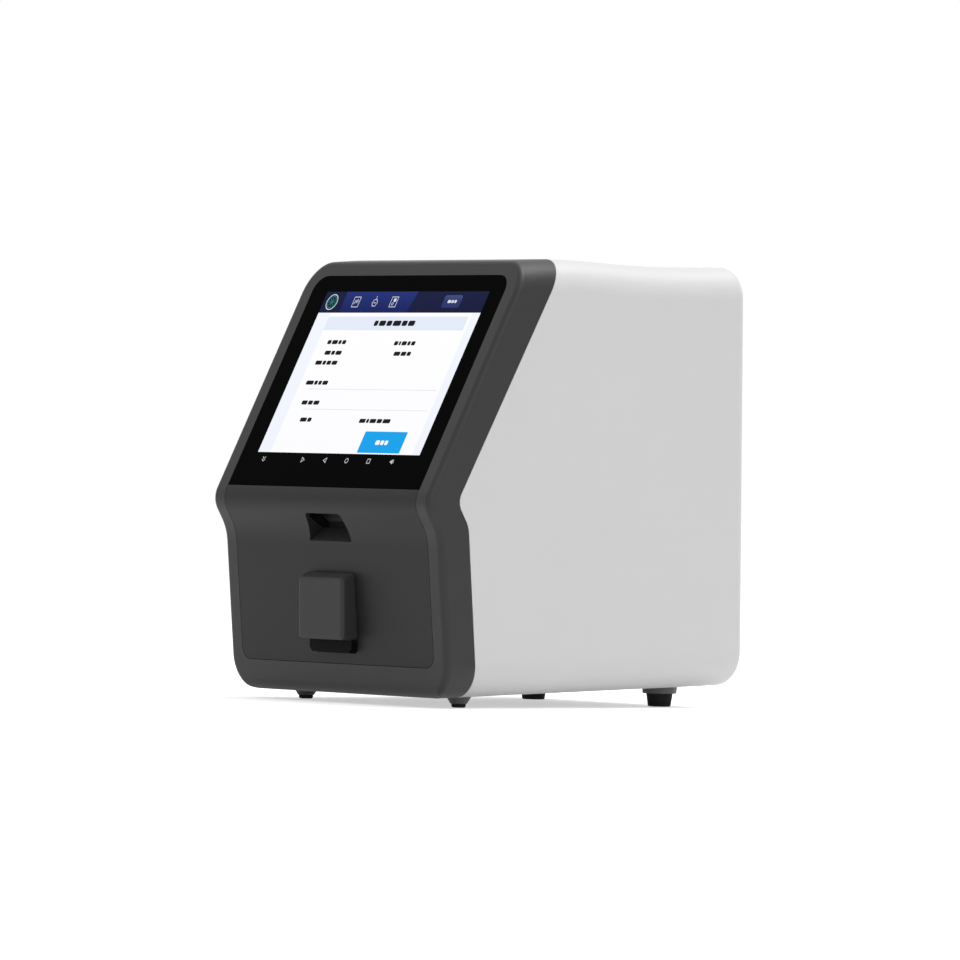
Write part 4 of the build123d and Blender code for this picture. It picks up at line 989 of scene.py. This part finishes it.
    def draw_page(self) -> None:
        """Draws the title, the label rows, the thin rules and the large button."""
        ink, rule = "lit ink", "lit rule"
        rows = [
            (-56.8, -38.4, 97.8, [4, 6, 3, 4]),
            (-55.0, -38.4, 90.5, [5, 3, 5]),
            (-60.0, -38.4, 83.7, [6, 3, 4, 5]),
            (-60.6, -39.0, 70.0, [7, 3, 3, 5]),
            (-56.4, -39.0, 56.4, [5, 4, 5]),
            (-50.6, -39.4, 44.8, [5, 3]),
            (9.8, 30.4, 97.2, [4, 2, 5, 3, 4]),
            (13.8, 30.4, 90.1, [5, 4, 3]),
            (8.4, 38.8, 44.6, [5, 2, 5, 4, 6]),
        ]
        self.label(-18.4, 21.6, 110.8, [3, 5, 4, 6, 4, 5], 3.6, ink)
        for x0, x1, y, shares in rows:
            self.label(x0, x1, y, shares, 2.8, ink)
        self.rectangle(-56.0, 70.5, 65.4, 65.9, rule, 2)
        self.rectangle(-52.0, 70.5, 51.7, 52.2, rule, 2)
        self.rectangle(19.2, 60.6, 23.2, 37.6, "lit button", 2, radius=0.9)
        self.label(33.4, 45.4, 30.2, [4, 3, 3], 3.0, "lit white")

    def draw_keys(self) -> None:
        """Draws the row of small signs in the bar under the page."""
        y = self.key_row
        key, line = "lit key", self.key_line
        for tip_y in (y + 0.2, y - 1.5):
            chevron = [(-71.3, tip_y + 1.2), (-70.0, tip_y), (-68.7, tip_y + 1.2)]
            self.outline(chevron, line, key, 2, closed=False)
        for base_x, tip_x in ((-31.9, -29.3), (-7.6, -10.2)):
            self.outline([(base_x, y - 1.6), (tip_x, y), (base_x, y + 1.6)], line, key, 2)
        self.ring(12.8, y, 1.7, line, key, 2)
        self.box_outline(34.4, y, 1.4, 1.4, line, key)
        self.disc(56.9, y, 2.0, key, 2, sides=3, turn=90)
        self.stroke(58.6, y - 0.9, 58.6, y + 0.9, line, key, 2)

    def build(self) -> bpy.types.Object:
        """Draws the whole picture as one piece.

        Returns:
            The picture's object.
        """
        self.draw_background()
        self.draw_header()
        self.draw_page()
        self.draw_keys()
        picture = join(self.pieces, "screen_picture")
        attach(picture, "case")
        return picture


@dataclass
class Studio:
    """The floor, the white world, the lamps and the camera."""

    focal_length: float = 316.24
    sensor: float = 36.0
    camera_place: tuple[float, float, float] = (4.0171, -3.1393, 0.1482)
    camera_right: tuple[float, float, float] = (0.61549276, 0.78783608, 0.02197643)
    camera_down: tuple[float, float, float] = (0.01560457, 0.01569685, -0.99975502)
    camera_forward: tuple[float, float, float] = (-0.78798804, 0.61568492, -0.00263254)
    near_limit: float = 0.1
    far_limit: float = 60.0
    floor_size: float = 24.0
    floor_glow: float = 0.5
    world_light: float = 0.55
    aim_height: float = 0.13

    def build_camera(self) -> None:
        """Places the camera at the photograph's angle."""
        data = bpy.data.cameras.new("camera")
        data.lens = self.focal_length
        data.sensor_width = self.sensor
        data.clip_start = self.near_limit
        data.clip_end = self.far_limit
        camera = bpy.data.objects.new("camera", data)
        bpy.context.collection.objects.link(camera)
        axes = (self.camera_right, self.camera_down, self.camera_forward)
        right, down, ahead = (Vector(axis) for axis in axes)
        matrix = Matrix((right, -down, -ahead)).transposed().to_4x4()
        matrix.translation = Vector(self.camera_place)
        camera.matrix_world = matrix
        bpy.context.scene.camera = camera

    def build_floor(self) -> None:
        """Makes the pale floor, which shows white to the camera and keeps the shadow."""
        bpy.ops.mesh.primitive_plane_add(size=self.floor_size, location=(0, 0, 0))
        floor = bpy.context.object
        floor.name = "floor"
        material, tree, shader = start_material("pale floor")
        place = tree.add("TexCoord")
        speckle = tree.add("TexNoise")
        speckle.inputs["Scale"].default_value = 40.0
        tree.link(place.outputs["Object"], speckle.inputs["Vector"])
        base = tree.mix(speckle.outputs["Fac"], (0.93, 0.93, 0.93), (0.95, 0.95, 0.95))
        tree.link(base, shader.inputs["Base Color"])
        shader.inputs["Roughness"].default_value = 0.9
        shader.inputs["Emission Color"].default_value = (1, 1, 1, 1)
        glow = tree.math("MULTIPLY", seen_directly(tree), self.floor_glow)
        tree.link(glow, shader.inputs["Emission Strength"])
        floor.data.materials.append(material)

    def build_world(self) -> None:
        """Makes a plain world that is white to the camera and soft on the object."""
        world = bpy.data.worlds.new("studio")
        bpy.context.scene.world = world
        world.use_nodes = True
        tree = Tree(world.node_tree.nodes, world.node_tree.links)
        background = tree.nodes["Background"]
        background.inputs["Color"].default_value = (1, 1, 1, 1)
        extra = tree.math("MULTIPLY", seen_directly(tree), 1 - self.world_light)
        tree.link(tree.math("ADD", self.world_light, extra), background.inputs["Strength"])

    def lamp(self, name: str, place: tuple[float, float, float], size: float, watts: float) -> None:
        """Adds a square area lamp aimed at the object.

        Args:
            name: the lamp's name.
            place: where it stands, in metres.
            size: its side in metres.
            watts: its power.
        """
        data = bpy.data.lights.new(name, "AREA")
        data.size = size
        data.energy = watts
        lamp = bpy.data.objects.new(name, data)
        bpy.context.collection.objects.link(lamp)
        aim = Vector((0, 0, self.aim_height)) - Vector(place)
        lamp.location = place
        lamp.rotation_euler = aim.to_track_quat("-Z", "Y").to_euler()

    def build(self) -> None:
        """Builds the whole studio."""
        self.build_camera()
        self.build_floor()
        self.build_world()
        self.lamp("top lamp", (0.3, 0.6, 2.2), 1.4, 42)
        self.lamp("front lamp", (1.0, -2.2, 1.0), 1.4, 1.4)
        self.lamp("side lamp", (1.5, -0.25, 1.0), 1.0, 5.4)
        bpy.context.scene.view_settings.view_transform = "Standard"


def main() -> None:
    """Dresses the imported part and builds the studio."""
    logging.basicConfig(level=logging.INFO)
    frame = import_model()
    finishes = Finishes()
    for finish, nodes in NODE_FINISHES.items():
        for node in nodes:
            finishes.wear(frame["nodes"][node], finish)
            shade_by_angle(frame["nodes"][node])
        log.info("%s: %s", finish, ", ".join(nodes))
    picture = ScreenPicture(finishes).build()
    log.info("screen picture: %d faces", len(picture.data.polygons))
    Studio().build()


if __name__ == "__main__":
    main()
